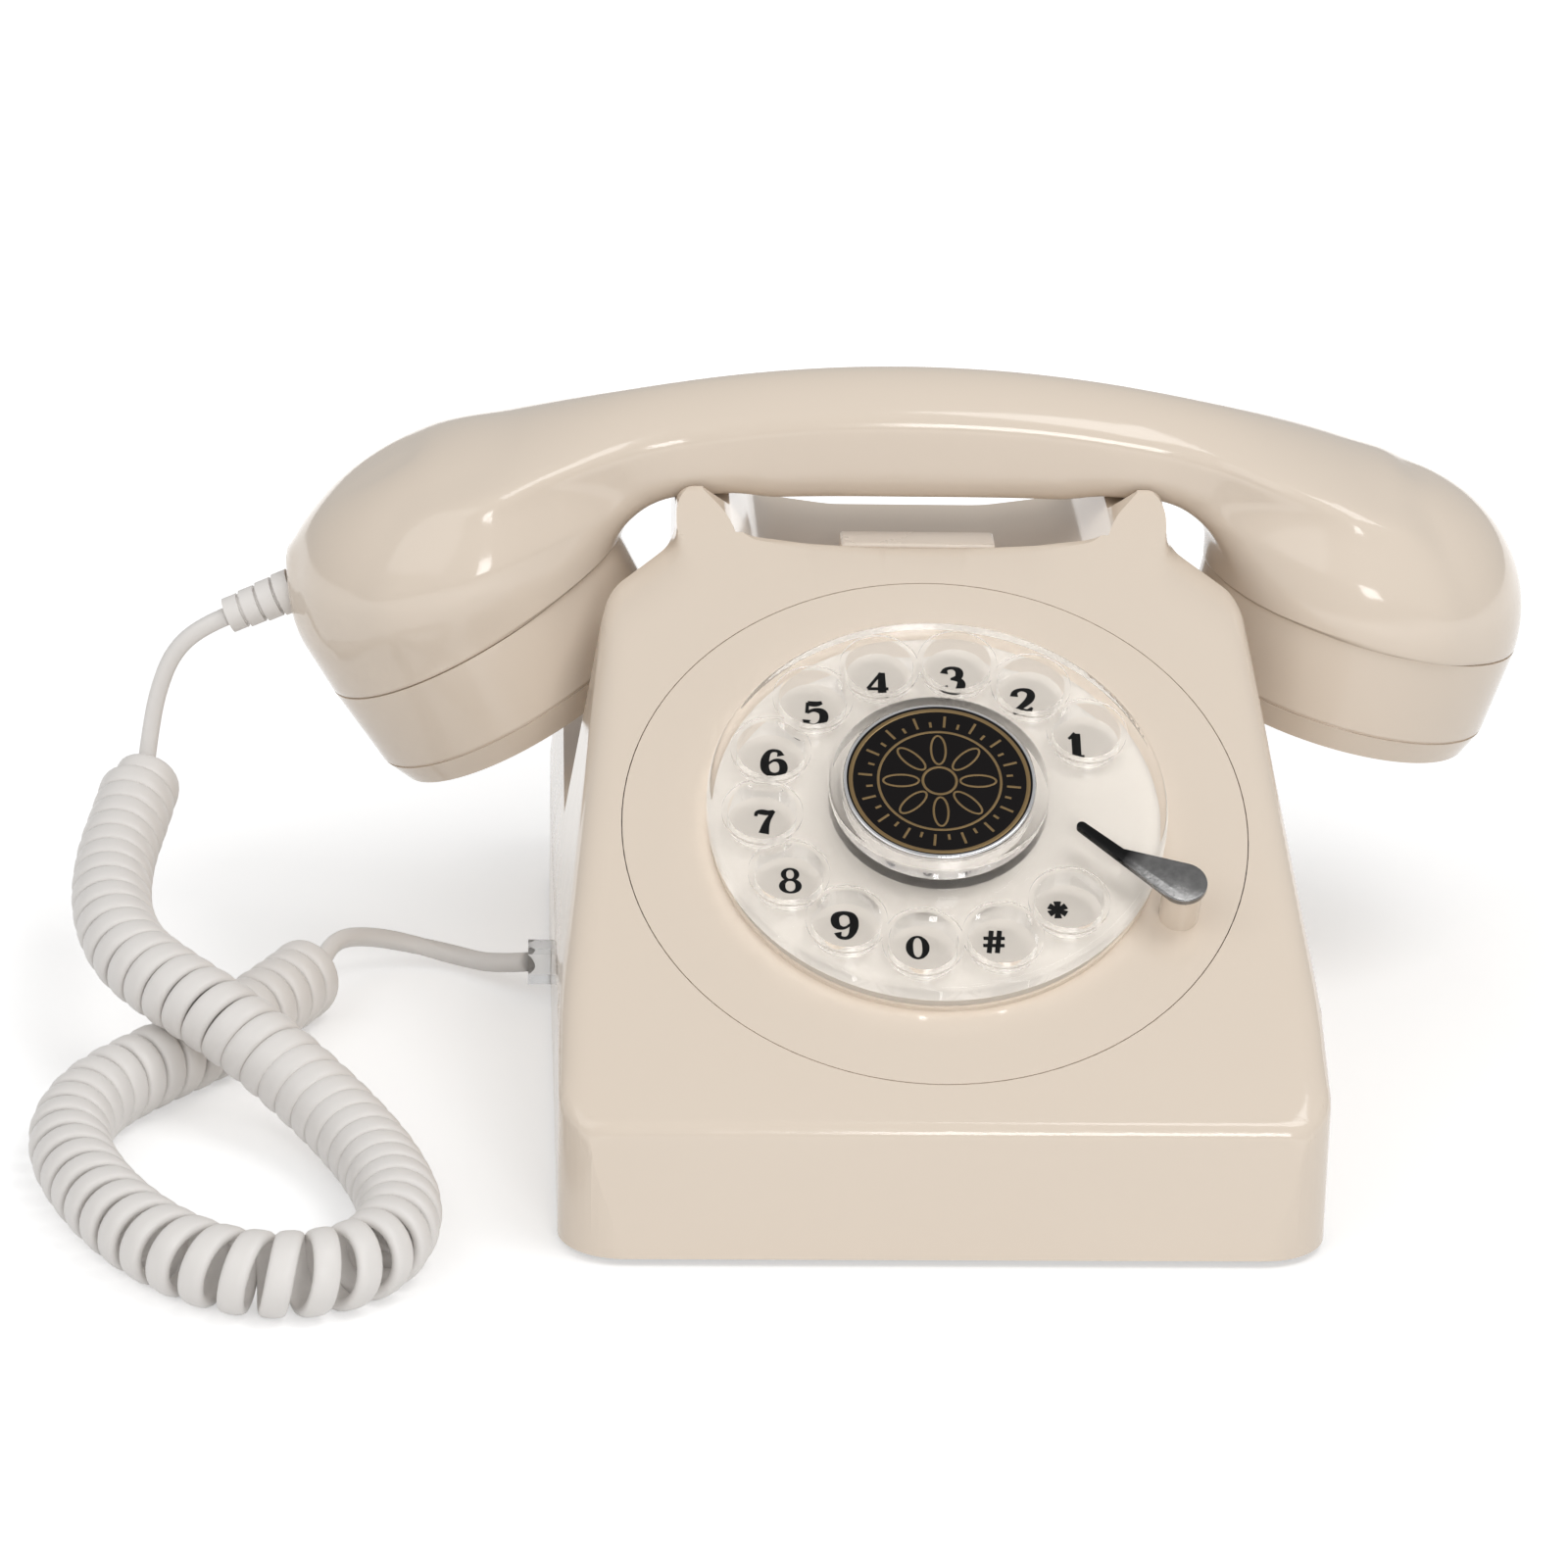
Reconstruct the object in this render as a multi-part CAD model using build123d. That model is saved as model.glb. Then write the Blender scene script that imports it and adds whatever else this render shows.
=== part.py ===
"""Desk telephone with a rotary dial: case, dial mechanism, cradle switch, ringer, handset and curly cord.

Millimetres. X runs to the right, Y to the back and Z up. The origin is on the table under the middle of
the case. Shapes on the dial are made in a frame of their own, with its origin at the dial's centre on
the sloping face, +X to the right, +Y up the slope and +Z out of the face.
"""

import math
import os

from build123d import *

# Case
case_depth = 200.0
half_width_front = 69.5
half_width_rear = 71.0
wall = 2.6
foot_height = 1.5
skirt_top = 26.4
skirt_lean = 2.0
face_angle = 31.4
corner_radius_front = 12.0
corner_radius_rear = 20.0
widest_height = 30.0
shoulder_half_width = 61.0
shoulder_slope_length = 119.0
tower_half_width = 47.3
tower_shoulder_rise = 7.0
horn_slope_length = 149.5
horn_tip_half_width = 42.3
front_dip_drop = 8.9
floor_drop = 17.7
lip_thickness = 5.0
tower_back = 66.0
rear_break_y = 87.0
rear_break_height = 52.0
rear_skirt_height = 30.0
bell_recess_front = 8.0
bell_recess_floor = 60.0
bell_recess_edge = 43.0
shoulder_thickness = 4.6
grip_recess_width = 80.0
grip_recess_height = 16.0
grip_recess_depth = 13.0
grip_recess_level = 62.0

# Base
base_thickness = 2.5
base_gap = 0.3
foot_radius = 7.0
foot_inset = 20.0
boss_radius = 4.5
boss_inset = 11.0
screw_radius = 1.5
screw_head_radius = 2.8
screw_head_height = 1.6
screw_depth = 9.0
hole_gap = 0.1

# Dial
dial_slope_length = 67.8
surround_radius = 58.0
surround_thickness = 2.0
surround_gap = 0.2
ledge_width = 4.0
dial_hole_radius = 44.0
plinth_radius = 42.0
plinth_height = 1.0
number_plate_radius = 41.5
number_plate_thickness = 1.5
wheel_radius = 42.6
wheel_bottom = 4.2
wheel_thickness = 3.6
wheel_hub_radius = 20.3
hub_rim_height = 4.8
wheel_sleeve_radius = 8.0
finger_holes = 12
finger_hole_radius = 6.4
finger_hole_circle = 32.6
finger_hole_pitch = 25.95
first_hole_angle = 29.8
collar_width = 1.1
collar_height = 0.6
ring_radius = 17.7
ring_top = 14.0
badge_radius = 17.1
badge_thickness = 1.6
ring_step = 1.5
spindle_radius = 3.0
bush_wall = 2.2
running_gap = 0.05
fit_gap = 0.02
stop_angle = -24.5
stop_circle = 48.4
stop_height = 9.6
stop_thickness = 1.4
stop_head_radius = 4.4
stop_neck_radius = 1.2
stop_neck_shift = 1.2
stop_tip_radius = 0.95
stop_boss_radius = 3.7
stop_tip_circle = 27.1
stop_tip_angle = -15.6
stop_pin_radius = 1.3
chassis_radius = 37.0
chassis_top = -7.5
chassis_thickness = 1.5
bridge_top = -24.0
gear_module = 0.6
main_teeth = 60
pinion_teeth = 12
gear_thickness = 1.6
gear_top = -11.0
gear_backlash = 0.12
governor_angle = 205.0
governor_radius = 6.5
governor_shaft_radius = 1.2
cam_radius = 10.0
cam_lobes = 10

# Cradle switch and button
plunger_radius = 2.5
plunger_gap = 0.3
plunger_proud = 0.7
plunger_x = 41.0
saddle_gap = 0.3
saddle_side_gap = 0.9
saddle_mouth_gap = 2.7
lever_post_inset = 9.0
switch_board_drop = 7.0
lever_level = 76.0
lever_thickness = 2.0
lever_width = 6.0
lever_pivot_y = 64.0
pivot_radius = 1.5
button_length = 30.0
button_depth = 8.0
button_y = 34.0
button_proud = 6.3
button_gap = 0.4
button_travel = 2.5

# Handset
handset_y = 44.4
grip_underside = 101.7
grip_depth = 25.4
cap_radius = 32.2
cap_height = 22.4
cap_groove = 17.2
cap_rim_radius = 29.0
cap_wall = 2.4
shell_wall = 2.6
mouth_x = -86.6
mouth_z = 74.8
mouth_tilt = 30.9
mouth_dome = 34.0
ear_x = 88.8
ear_z = 77.6
ear_tilt = 14.9
ear_dome = 28.0
mouth_rounding = 21.0
ear_rounding = 24.0
grip_top = 124.0
grip_arch_radius = 263.0
grip_edge_radius = 7.0
grip_thickening = 1.7
capsule_radius = 26.0
relief_inner_x = -113.0
relief_inner_z = 81.4
relief_outer_x = -134.6
relief_outer_z = 71.9
relief_radius = 4.4

# Ringer and line circuit
gong_radius = 22.0
gong_height = 13.0
gong_x = 27.0
gong_inset = 34.0
gong_level = 14.0
gong_wall = 1.2
coil_length = 30.0
coil_radius = 8.0
coil_to_clapper = 14.0
coil_height = 14.0
core_radius = 3.0
clapper_to_gongs = 30.0
board_width = 96.0
board_depth = 62.0
board_y = -42.0
board_level = 10.0
board_thickness = 1.6
line_jack_x = 0.0

# Cord
lead_radius = 1.75
curl_radius = 7.75
plug_y = 21.4
plug_z = 8.0
plug_width = 7.6
plug_height = 6.4
plug_length = 12.0
plug_tail = 4.5

# Worked out from the sizes above
slope = math.radians(face_angle)
front_y = -case_depth / 2
rear_y = case_depth / 2
gong_y = rear_y - gong_inset
clapper_y = gong_y - clapper_to_gongs
coil_y = clapper_y - coil_to_clapper
rim_z = foot_height
edge_y = front_y + skirt_lean
base_top = rim_z + base_thickness
wheel_top = wheel_bottom + wheel_thickness


def on_face(length):
    """Y and Z of a point this far up the sloping face from its front edge."""
    return edge_y + length * math.cos(slope), skirt_top + length * math.sin(slope)


shoulder_y, shoulder_z = on_face(shoulder_slope_length)
horn_y, horn_z = on_face(horn_slope_length)
dial_y, dial_z = on_face(dial_slope_length)
DIAL = Plane(origin=(0, dial_y, dial_z), x_dir=(1, 0, 0), z_dir=(0, -math.sin(slope), math.cos(slope)))
bush_radius = spindle_radius + bush_wall
saddle_z = grip_underside - grip_thickening - saddle_gap
floor_z = horn_z - floor_drop
lever_post_x = plunger_x - lever_post_inset
switch_board_z = lever_level - switch_board_drop
collar_radius = cap_radius - cap_wall - 0.6
relief_start = (relief_inner_x, handset_y, relief_inner_z)
relief_end = (relief_outer_x, handset_y, relief_outer_z)
coil_z = base_top + coil_height
cord_wall_x = -half_width_front - (half_width_rear - half_width_front) * 0.8
gear_radius = gear_module * main_teeth / 2
pinion_radius = gear_module * pinion_teeth / 2
governor_distance = gear_radius + pinion_radius + gear_backlash


def disc(radius, low, high):
    """Upright cylinder between two heights."""
    return Pos(0, 0, (low + high) / 2) * Cylinder(radius, high - low)


def block(x0, x1, y0, y1, z0, z1):
    """Box between two corners."""
    return Pos((x0 + x1) / 2, (y0 + y1) / 2, (z0 + z1) / 2) * Box(x1 - x0, y1 - y0, z1 - z0)


def outline(points, radii, inset=0.0):
    """Closed face through points, with each corner rounded by its radius and the edge moved in."""
    face = make_face(Polyline(*points, close=True))
    for point, radius in zip(points, radii):
        if radius:
            corner = face.vertices().sort_by_distance(Vector(*point))[0]
            face = fillet(corner, radius)
    if inset:
        face = offset(face, amount=-inset, kind=Kind.INTERSECTION)
    return face


def along_x(face, half_length):
    """Prism of a Y-Z face, drawn flat in X-Y, on both sides of the middle."""
    return Plane.YZ * extrude(face, half_length, both=True)


def along_y(face, y0, y1):
    """Prism of an X-Z face, drawn flat in X-Y, from y0 to y1."""
    return Plane(origin=(0, y1, 0), x_dir=(1, 0, 0), z_dir=(0, -1, 0)) * extrude(face, y1 - y0)


def mirrored(points):
    """The points, then their mirror images in reverse, so that the outline is symmetric."""
    return list(points) + [(-x, z) for x, z in reversed(points)]


def plan_outline(inset):
    """Plan of the case, or of something inside it by an inset."""
    plan = [(-half_width_front, front_y), (half_width_front, front_y)]
    plan += [(half_width_rear, rear_y - 50), (half_width_rear, rear_y), (-half_width_rear, rear_y)]
    plan += [(-half_width_rear, rear_y - 50)]
    rounding = [corner_radius_front, corner_radius_front, 60, corner_radius_rear, corner_radius_rear, 60]
    return outline(plan, rounding, inset)


def case_form(inset):
    """Outer form of the case for no inset, or the hollow inside it for the wall as inset."""
    side = [(front_y, rim_z), (edge_y, skirt_top), (horn_y, horn_z), (tower_back, horn_z)]
    side += [(rear_break_y, rear_break_height), (rear_y - 2, rear_skirt_height), (rear_y, rim_z)]
    body = along_x(outline(side, [0, 4, 2.2, 5, 16, 6, 0], inset), half_width_rear + 20)

    right = [(half_width_rear + 1, rim_z), (half_width_rear, widest_height)]
    right += [(shoulder_half_width, shoulder_z)]
    right += [(tower_half_width, shoulder_z + tower_shoulder_rise), (tower_half_width, horn_z)]
    room = horn_z - shoulder_z - tower_shoulder_rise
    radii = [0, 8, 7, min(5, 0.55 * room), min(3.6, 0.4 * room)]
    front = outline(mirrored(right), radii + radii[::-1], inset)
    body &= along_y(front, front_y - 5, rear_y + 5)

    body &= extrude(plan_outline(inset), horn_z + 20)

    body -= cradle_cut(inset)
    body -= bell_recess(inset, 1)
    body -= bell_recess(inset, -1)
    body -= grip_recess(inset)
    return body


def cradle_cut(grow):
    """What is cut away above the cradle: the front dip, the floor between the horns and the saddles."""
    top = horn_z + 12
    tip = horn_tip_half_width + 0.1
    dip = horn_z - front_dip_drop
    flank = [(tip, top), (tip, horn_z), (tip - 5.2, horn_z - 3.7)]
    half = flank + [(tip - 8.4, dip + 2.3), (tip - 20.4, dip + 0.8), (tip - 34.4, dip)]
    front = outline(mirrored(half), [0, 1.5, 9, 8, 30, 30, 30, 30, 8, 9, 1.5, 0], -grow)
    lip_back = edge_y + (dip - skirt_top) / math.tan(slope) + lip_thickness + grow
    cut = along_y(front, front_y, lip_back)

    half = flank + [(tip - 12, floor_z + 2.4), (tip - 27, floor_z)]
    rear = outline(mirrored(half), [0, 1.5, 9, 10, 30, 30, 10, 9, 1.5, 0], -grow)
    cut += along_y(rear, lip_back - 2 * grow, rear_y + 10)

    low, high = grip_depth / 2 + saddle_side_gap, grip_depth / 2 + saddle_mouth_gap
    saddle = [(handset_y - high, top), (handset_y - low, saddle_z)]
    saddle += [(handset_y + low, saddle_z), (handset_y + high, top)]
    cut += along_x(outline(saddle, [0, 3, 3, 0], -grow), half_width_rear)
    return cut


def bell_recess(grow, side):
    """Hollow beside the tower that one end of the handset hangs in."""
    reach = half_width_rear + 20
    drop = (bell_recess_floor - bell_recess_edge) / (half_width_rear - tower_half_width)
    low = bell_recess_floor - drop * (reach - tower_half_width)
    points = [(side * tower_half_width, horn_z + 20), (side * tower_half_width, bell_recess_floor)]
    points += [(side * reach, low), (side * reach, horn_z + 20)]
    section = outline(points, [0, 9, 0, 0], -grow)
    cut = along_y(section, bell_recess_front - grow, rear_y + 10)
    if not grow:
        cut -= DIAL.location * Box(4 * half_width_rear, 2 * case_depth, 2 * shoulder_thickness)
    return cut


def grip_recess(grow):
    """Finger hollow across the back, for carrying the telephone."""
    centre = Pos(0, rear_break_y - 4, grip_recess_level)
    width, height = grip_recess_width + 2 * grow, grip_recess_height + 2 * grow
    hollow = Box(width, 2 * (grip_recess_depth + grow), height)
    if not grow:
        hollow = fillet(hollow.edges().filter_by(Axis.Y), 5)
    return centre * hollow


def foot_places():
    """Centres of the four feet."""
    x = half_width_front - foot_inset
    y = case_depth / 2 - foot_inset
    return [(i * x, j * y) for j in (-1, 1) for i in (-1, 1)]


def boss_places():
    """Centres of the four screw bosses inside the corners."""
    x = half_width_front - boss_inset
    y = case_depth / 2 - boss_inset - 3
    return [(i * x, j * y) for j in (-1, 1) for i in (-1, 1)]


def ring(outer, inner, low, high):
    """Upright tube between two heights."""
    return disc(outer, low, high) - disc(inner, low - 1, high + 1)


def at_angle(radius, degrees):
    """X and Y of a point on a circle about the origin."""
    return radius * math.cos(math.radians(degrees)), radius * math.sin(math.radians(degrees))


def around(shape, radius, angles):
    """Copies of a shape at the given angles on a circle about the Z axis."""
    return [Pos(*at_angle(radius, angle), 0) * shape for angle in angles]


def on_dial(shape):
    """Move a shape from the dial's own frame to its place on the face."""
    return DIAL.location * shape


def cylinder_between(start, end, radius):
    """Round bar from one point to another."""
    axis = Vector(*end) - Vector(*start)
    plane = Plane(origin=start, z_dir=axis)
    return plane * extrude(Circle(radius), axis.length)


def bar_across(y, z, reach, radius):
    """Round bar along X, as long on both sides of the middle."""
    return cylinder_between((-reach, y, z), (reach, y, z), radius)


def make_case():
    """The moulded case: a shell with screw bosses, the dial's seat and every opening in it."""
    form = case_form(0)
    hollow = case_form(wall)
    case = form - hollow
    case -= extrude(plan_outline(wall), rim_z + wall + 1)
    case -= extrude(plan_outline(wall / 2), base_top)
    seat = -surround_thickness
    ledge = ring(surround_radius + wall, dial_hole_radius, seat - 2 * wall, seat)
    case += on_dial(ledge) & hollow
    case -= on_dial(disc(surround_radius + surround_gap, seat, 5))
    case -= on_dial(disc(dial_hole_radius, -30, 5))
    for x, y in boss_places():
        boss = Pos(x, y, 0) * disc(boss_radius, base_top, horn_z) & form
        case += boss
        case -= Pos(x, y, 0) * disc(screw_radius + hole_gap, 0, base_top + screw_depth)
    for side in (-1, 1):
        guide = Pos(side * plunger_x, handset_y, 0) * disc(plunger_radius + 2, saddle_z - 10, saddle_z - 1)
        case += guide & form
        case -= Pos(side * plunger_x, handset_y, 0) * disc(plunger_radius + plunger_gap, 60, horn_z + 10)
        case += lever_post(side) & form
    case -= button_slot()
    case -= cord_jack_hole()
    case -= line_jack_hole()
    return case


def make_base_plate():
    """Base plate let into the rim of the case, with standoffs for what stands on it."""
    plate = Pos(0, 0, rim_z) * extrude(plan_outline(wall / 2 + base_gap), base_thickness)
    for x, y in boss_places():
        plate -= Pos(x, y, 0) * disc(screw_radius + hole_gap, 0, base_top + 1)
        plate -= Pos(x, y, 0) * disc(screw_head_radius + hole_gap, 0, rim_z + screw_head_height)
    for x, y in board_corners():
        plate += Pos(x, y, 0) * disc(3, base_top, board_level)
    for side in (-1, 1):
        plate += Pos(side * gong_x, gong_y, 0) * disc(4, base_top, gong_level)
    plate += block(-14, 14, coil_y - 9, coil_y + 9, base_top, coil_z - coil_radius - 2.6)
    return plate


def make_feet():
    """Four rubber feet under the base plate."""
    return [Pos(x, y, 0) * disc(foot_radius, 0, rim_z) for x, y in foot_places()]


def make_base_screws():
    """Four countersunk screws that hold the base plate to the case."""
    screws = []
    for x, y in boss_places():
        head = disc(screw_head_radius, rim_z + 0.2, rim_z + screw_head_height)
        shank = disc(screw_radius, rim_z + screw_head_height - 0.1, base_top + screw_depth - 1)
        screws.append(Pos(x, y, 0) * (head + shank))
    return screws


def board_corners():
    """Where the circuit board stands on the base."""
    x = board_width / 2 - 5
    y = board_depth / 2 - 5
    return [(i * x, board_y + j * y) for j in (-1, 1) for i in (-1, 1)]


# The dial, in its own frame


def hole_angles():
    """Direction of each finger hole from the centre."""
    return [first_hole_angle + finger_hole_pitch * i for i in range(finger_holes)]


def make_surround():
    """Flush disc that carries the dial: plinth, finger-stop boss and bearing hole."""
    plate = disc(surround_radius, -surround_thickness, 0) + disc(plinth_radius, -0.5, plinth_height)
    place = Pos(*at_angle(stop_circle, stop_angle), 0)
    boss = place * disc(stop_boss_radius, -1, stop_height - stop_thickness / 2)
    plate += boss - disc(wheel_radius + 0.5, plinth_height, stop_height)
    plate -= disc(bush_radius + hole_gap, -10, 10)
    return plate - place * disc(stop_pin_radius + hole_gap, 1, stop_height)


def make_number_plate():
    """Printed plate under the finger wheel."""
    low = plinth_height
    return ring(number_plate_radius, wheel_sleeve_radius + 1, low, low + number_plate_thickness)


def make_wheel():
    """Clear finger wheel: rim, holes with raised collars, hub seat with its own raised rim, and sleeve."""
    wheel = disc(wheel_radius, wheel_bottom, wheel_top)
    wheel = fillet(wheel.edges().group_by(Axis.Z)[-1], 1.0)
    wheel += disc(wheel_hub_radius, wheel_bottom + 1, wheel_top + collar_height)
    rim_top = wheel_top + collar_height + hub_rim_height
    rim = ring(wheel_hub_radius, ring_radius + hole_gap, wheel_top, rim_top)
    wheel += fillet(rim.edges().group_by(Axis.Z)[-1], 0.5)
    wheel += disc(wheel_sleeve_radius, plinth_height + number_plate_thickness + 0.4, wheel_bottom + 1)
    collar = disc(finger_hole_radius + collar_width, wheel_bottom + 1, wheel_top + collar_height)
    wheel += around(collar, finger_hole_circle, hole_angles())
    for hole in around(disc(finger_hole_radius, 0, 20), finger_hole_circle, hole_angles()):
        wheel -= hole
    wheel -= disc(spindle_radius + fit_gap, 0, 20)
    return wheel


def make_ring():
    """Bright ring that holds the centre badge."""
    body = ring(ring_radius, badge_radius - ring_step, wheel_top + collar_height, ring_top)
    body = fillet(body.edges().group_by(Axis.Z)[-1].sort_by(SortBy.RADIUS)[-1], 0.3)
    return body - disc(badge_radius + fit_gap, ring_top - badge_thickness, ring_top + 1)


def make_badge():
    """Plain dark disc in the middle of the dial."""
    return disc(badge_radius, ring_top - badge_thickness, ring_top - 0.2)


def make_spindle():
    """Dial shaft, from under the main gear to the top of the wheel."""
    shaft = disc(spindle_radius, bridge_top + 0.3, wheel_top + collar_height)
    shaft += disc(spindle_radius - 1, bridge_top - chassis_thickness, bridge_top + 1)
    return shaft - disc(screw_radius + hole_gap, wheel_top - 7, 20)


def make_wheel_screw():
    """Screw that clamps the finger wheel on the shaft."""
    head = disc(5, wheel_top + collar_height, wheel_top + collar_height + 1.8)
    return head + disc(screw_radius, wheel_top - 6, wheel_top + collar_height + 0.2)


def make_finger_stop():
    """Bright stop: a drop-shaped head on the boss, drawn out to a thin tip over the wheel."""
    head = Vector(*at_angle(stop_circle, stop_angle))
    tip = Vector(*at_angle(stop_tip_circle, stop_tip_angle))
    along = (head - tip).normalized()
    neck = tip + (head - tip) * 0.42 + Vector(along.Y, -along.X, 0) * stop_neck_shift
    rounds = [(head, stop_head_radius), (neck, stop_neck_radius), (tip, stop_tip_radius)]
    circles = [(Pos(place.X, place.Y) * Circle(radius)).edges() for place, radius in rounds]
    flat = make_hull(circles[0] + circles[1]) + make_hull(circles[1] + circles[2])
    plate = Pos(0, 0, stop_height - stop_thickness / 2) * extrude(flat, stop_thickness)
    return plate + Pos(head.X, head.Y, 0) * disc(stop_pin_radius, 2, stop_height)


def make_chassis():
    """Steel plate behind the dial with the shaft's bush and the governor's bearing."""
    plate = disc(chassis_radius, chassis_top - chassis_thickness, chassis_top)
    plate += disc(bush_radius, gear_top + 0.3, plinth_height)
    plate -= disc(spindle_radius + running_gap, -30, 20)
    plate -= governor_place() * disc(governor_shaft_radius + running_gap, -30, 20)
    return plate


def pillar_angles():
    """Directions of the three pillars that join the chassis to the disc in front and the bridge behind."""
    return [60, 150, 270]


def make_pillars():
    """Pillars between the disc on the face, the chassis and the bridge."""
    x = chassis_radius - 4
    front = around(disc(2.5, chassis_top, -surround_thickness), x, pillar_angles())
    rear = around(disc(2.5, bridge_top, chassis_top - chassis_thickness), x, pillar_angles())
    return front + rear


def make_bridge():
    """Rear plate that carries the back ends of both shafts."""
    plate = disc(chassis_radius, bridge_top - chassis_thickness, bridge_top)
    plate -= disc(spindle_radius - 1 + running_gap, -40, 0)
    return plate - governor_place() * disc(governor_shaft_radius + running_gap, -40, 0)


def gear(teeth, low, high, bore, phase=0.0):
    """Spur gear with straight-sided teeth and the backlash that keeps meshing teeth apart."""
    pitch = gear_module * teeth / 2
    tip = pitch + 0.75 * gear_module
    root = pitch - 1.15 * gear_module
    step = 360 / teeth
    points = []
    for i in range(teeth):
        middle = i * step + phase
        points += [at_angle(root, middle - 0.36 * step), at_angle(tip, middle - 0.12 * step)]
        points += [at_angle(tip, middle + 0.12 * step), at_angle(root, middle + 0.36 * step)]
    body = make_face(Polyline(*points, close=True)) - Circle(bore)
    return Pos(0, 0, low) * extrude(body, high - low)


def make_main_gear():
    """Drive gear on the dial shaft."""
    return gear(main_teeth, gear_top - gear_thickness, gear_top, spindle_radius + fit_gap, governor_angle)


def make_cam():
    """Pulse cam: a round disc with a lobe for each pulse."""
    low = gear_top - gear_thickness - 3
    points = []
    step = 360 / (cam_lobes + 2)
    for i in range(cam_lobes):
        start = i * step
        points += [at_angle(cam_radius - 2, start), at_angle(cam_radius, start + step / 4)]
        points += [at_angle(cam_radius, start + step / 2), at_angle(cam_radius - 2, start + 3 * step / 4)]
    points += [at_angle(cam_radius - 2, 312), at_angle(cam_radius - 2, 336)]
    body = make_face(Polyline(*points, close=True)) - Circle(spindle_radius + fit_gap)
    hub = ring(spindle_radius + 1.6, spindle_radius + fit_gap, low, gear_top - gear_thickness)
    return Pos(0, 0, low) * extrude(body, 1.6) + hub


def make_return_spring():
    """Flat spiral spring behind the cam, from the shaft to its anchor pin on the bridge."""
    low, high = bridge_top + 1, bridge_top + 4
    turns, steps = 3, 72
    inner = spindle_radius + 0.35
    pitch = 3.2
    strip = 0.5
    angles = [turns * 360 * i / steps for i in range(steps + 1)]
    inside = [at_angle(inner + pitch * a / 360, a) for a in angles]
    outside = [at_angle(inner + strip + pitch * a / 360, a) for a in reversed(angles)]
    spiral = Pos(0, 0, low) * extrude(make_face(Polyline(*(inside + outside), close=True)), high - low)
    pin = Pos(inner + strip + pitch * turns, 0, 0) * disc(1.2, bridge_top, high)
    return spiral + pin


def governor_place():
    """Place of the governor's shaft in the dial's frame."""
    return Pos(*at_angle(governor_distance, governor_angle), 0)


def make_governor():
    """Governor shaft with its brake drum and the two weights."""
    shaft = disc(governor_shaft_radius, bridge_top - chassis_thickness, chassis_top)
    drum = disc(governor_radius - 2.5, bridge_top + 3, bridge_top + 8)
    weights = Pos(0, 0, bridge_top + 5.5) * Box(2 * governor_radius, 3, 3)
    return governor_place() * (shaft + drum + weights)


def make_pinion():
    """Pinion on the governor's shaft, in mesh with the drive gear."""
    phase = governor_angle + 180 + 180 / pinion_teeth
    bore = governor_shaft_radius + fit_gap
    wheel = gear(pinion_teeth, gear_top - gear_thickness - 0.3, gear_top + 0.3, bore, phase)
    return governor_place() * wheel


def make_pulse_contacts():
    """Contact leaves beside the cam, on an insulating block under the chassis."""
    low = gear_top - gear_thickness - 3
    block_part = block(cam_radius + 10, cam_radius + 18, -4, 4, low - 1, chassis_top - chassis_thickness)
    leaves = block(cam_radius + 0.5, cam_radius + 10, -2.6, -2.1, low, low + 1.6)
    leaves += block(cam_radius + 0.5, cam_radius + 10, 2.1, 2.6, low, low + 1.6)
    return block_part, leaves


# Cradle switch and button


def lever_post(side):
    """Post under the roof of the cradle that carries the lever's pivot."""
    x = side * lever_post_x
    post = block(x - 2, x + 2, lever_pivot_y - 4, lever_pivot_y + 4, lever_level - 4, horn_z)
    return post - bar_across(lever_pivot_y, lever_level, lever_post_x + 5, pivot_radius)


def make_plungers():
    """Two plungers in the saddles, pressed by the handset."""
    plungers = []
    for side in (-1, 1):
        rod = disc(plunger_radius, lever_level + lever_thickness / 2 + 0.1, saddle_z + plunger_proud)
        plungers.append(Pos(side * plunger_x, handset_y, 0) * rod)
    return plungers


def make_lever():
    """Lever that both plungers stand on, with arms back to its pivot."""
    low, high = lever_level - lever_thickness / 2, lever_level + lever_thickness / 2
    x = plunger_x + plunger_radius
    lever = block(-x, x, handset_y - lever_width / 2, handset_y + lever_width / 2, low, high)
    for side in (-1, 1):
        arm = side * (lever_post_x - 5)
        lever += block(arm - 1.5, arm + 1.5, handset_y, lever_pivot_y, low, high)
        start, end = (arm - 1.5, lever_pivot_y, lever_level), (arm + 1.5, lever_pivot_y, lever_level)
        lever += cylinder_between(start, end, pivot_radius + 1.4)
    return lever - bar_across(lever_pivot_y, lever_level, 2 * lever_post_x, pivot_radius + running_gap)


def make_pivot_pin():
    """Pin through both posts and the lever's arms."""
    return bar_across(lever_pivot_y, lever_level, lever_post_x + 2, pivot_radius)


def button_box(grow, low, high):
    """Plan of the button, grown by a gap, between two heights."""
    x, y = button_length / 2 + grow, button_depth / 2 + grow
    return block(-x, x, button_y - y, button_y + y, low, high)


def button_slot():
    """Slot in the cradle floor that the button comes up through."""
    return button_box(button_gap, floor_z - 3 * wall, horn_z)


def make_button():
    """Button bar between the horns, kept in its slot by a flange under the floor."""
    roof = floor_z - wall - 0.2
    cap = button_box(0, roof - 1.6, floor_z + button_proud)
    cap = fillet(cap.edges().group_by(Axis.Z)[-1], 0.7)
    flange = button_box(2, roof - 1.6 - 0.3, roof - 0.3)
    return cap + flange


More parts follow.
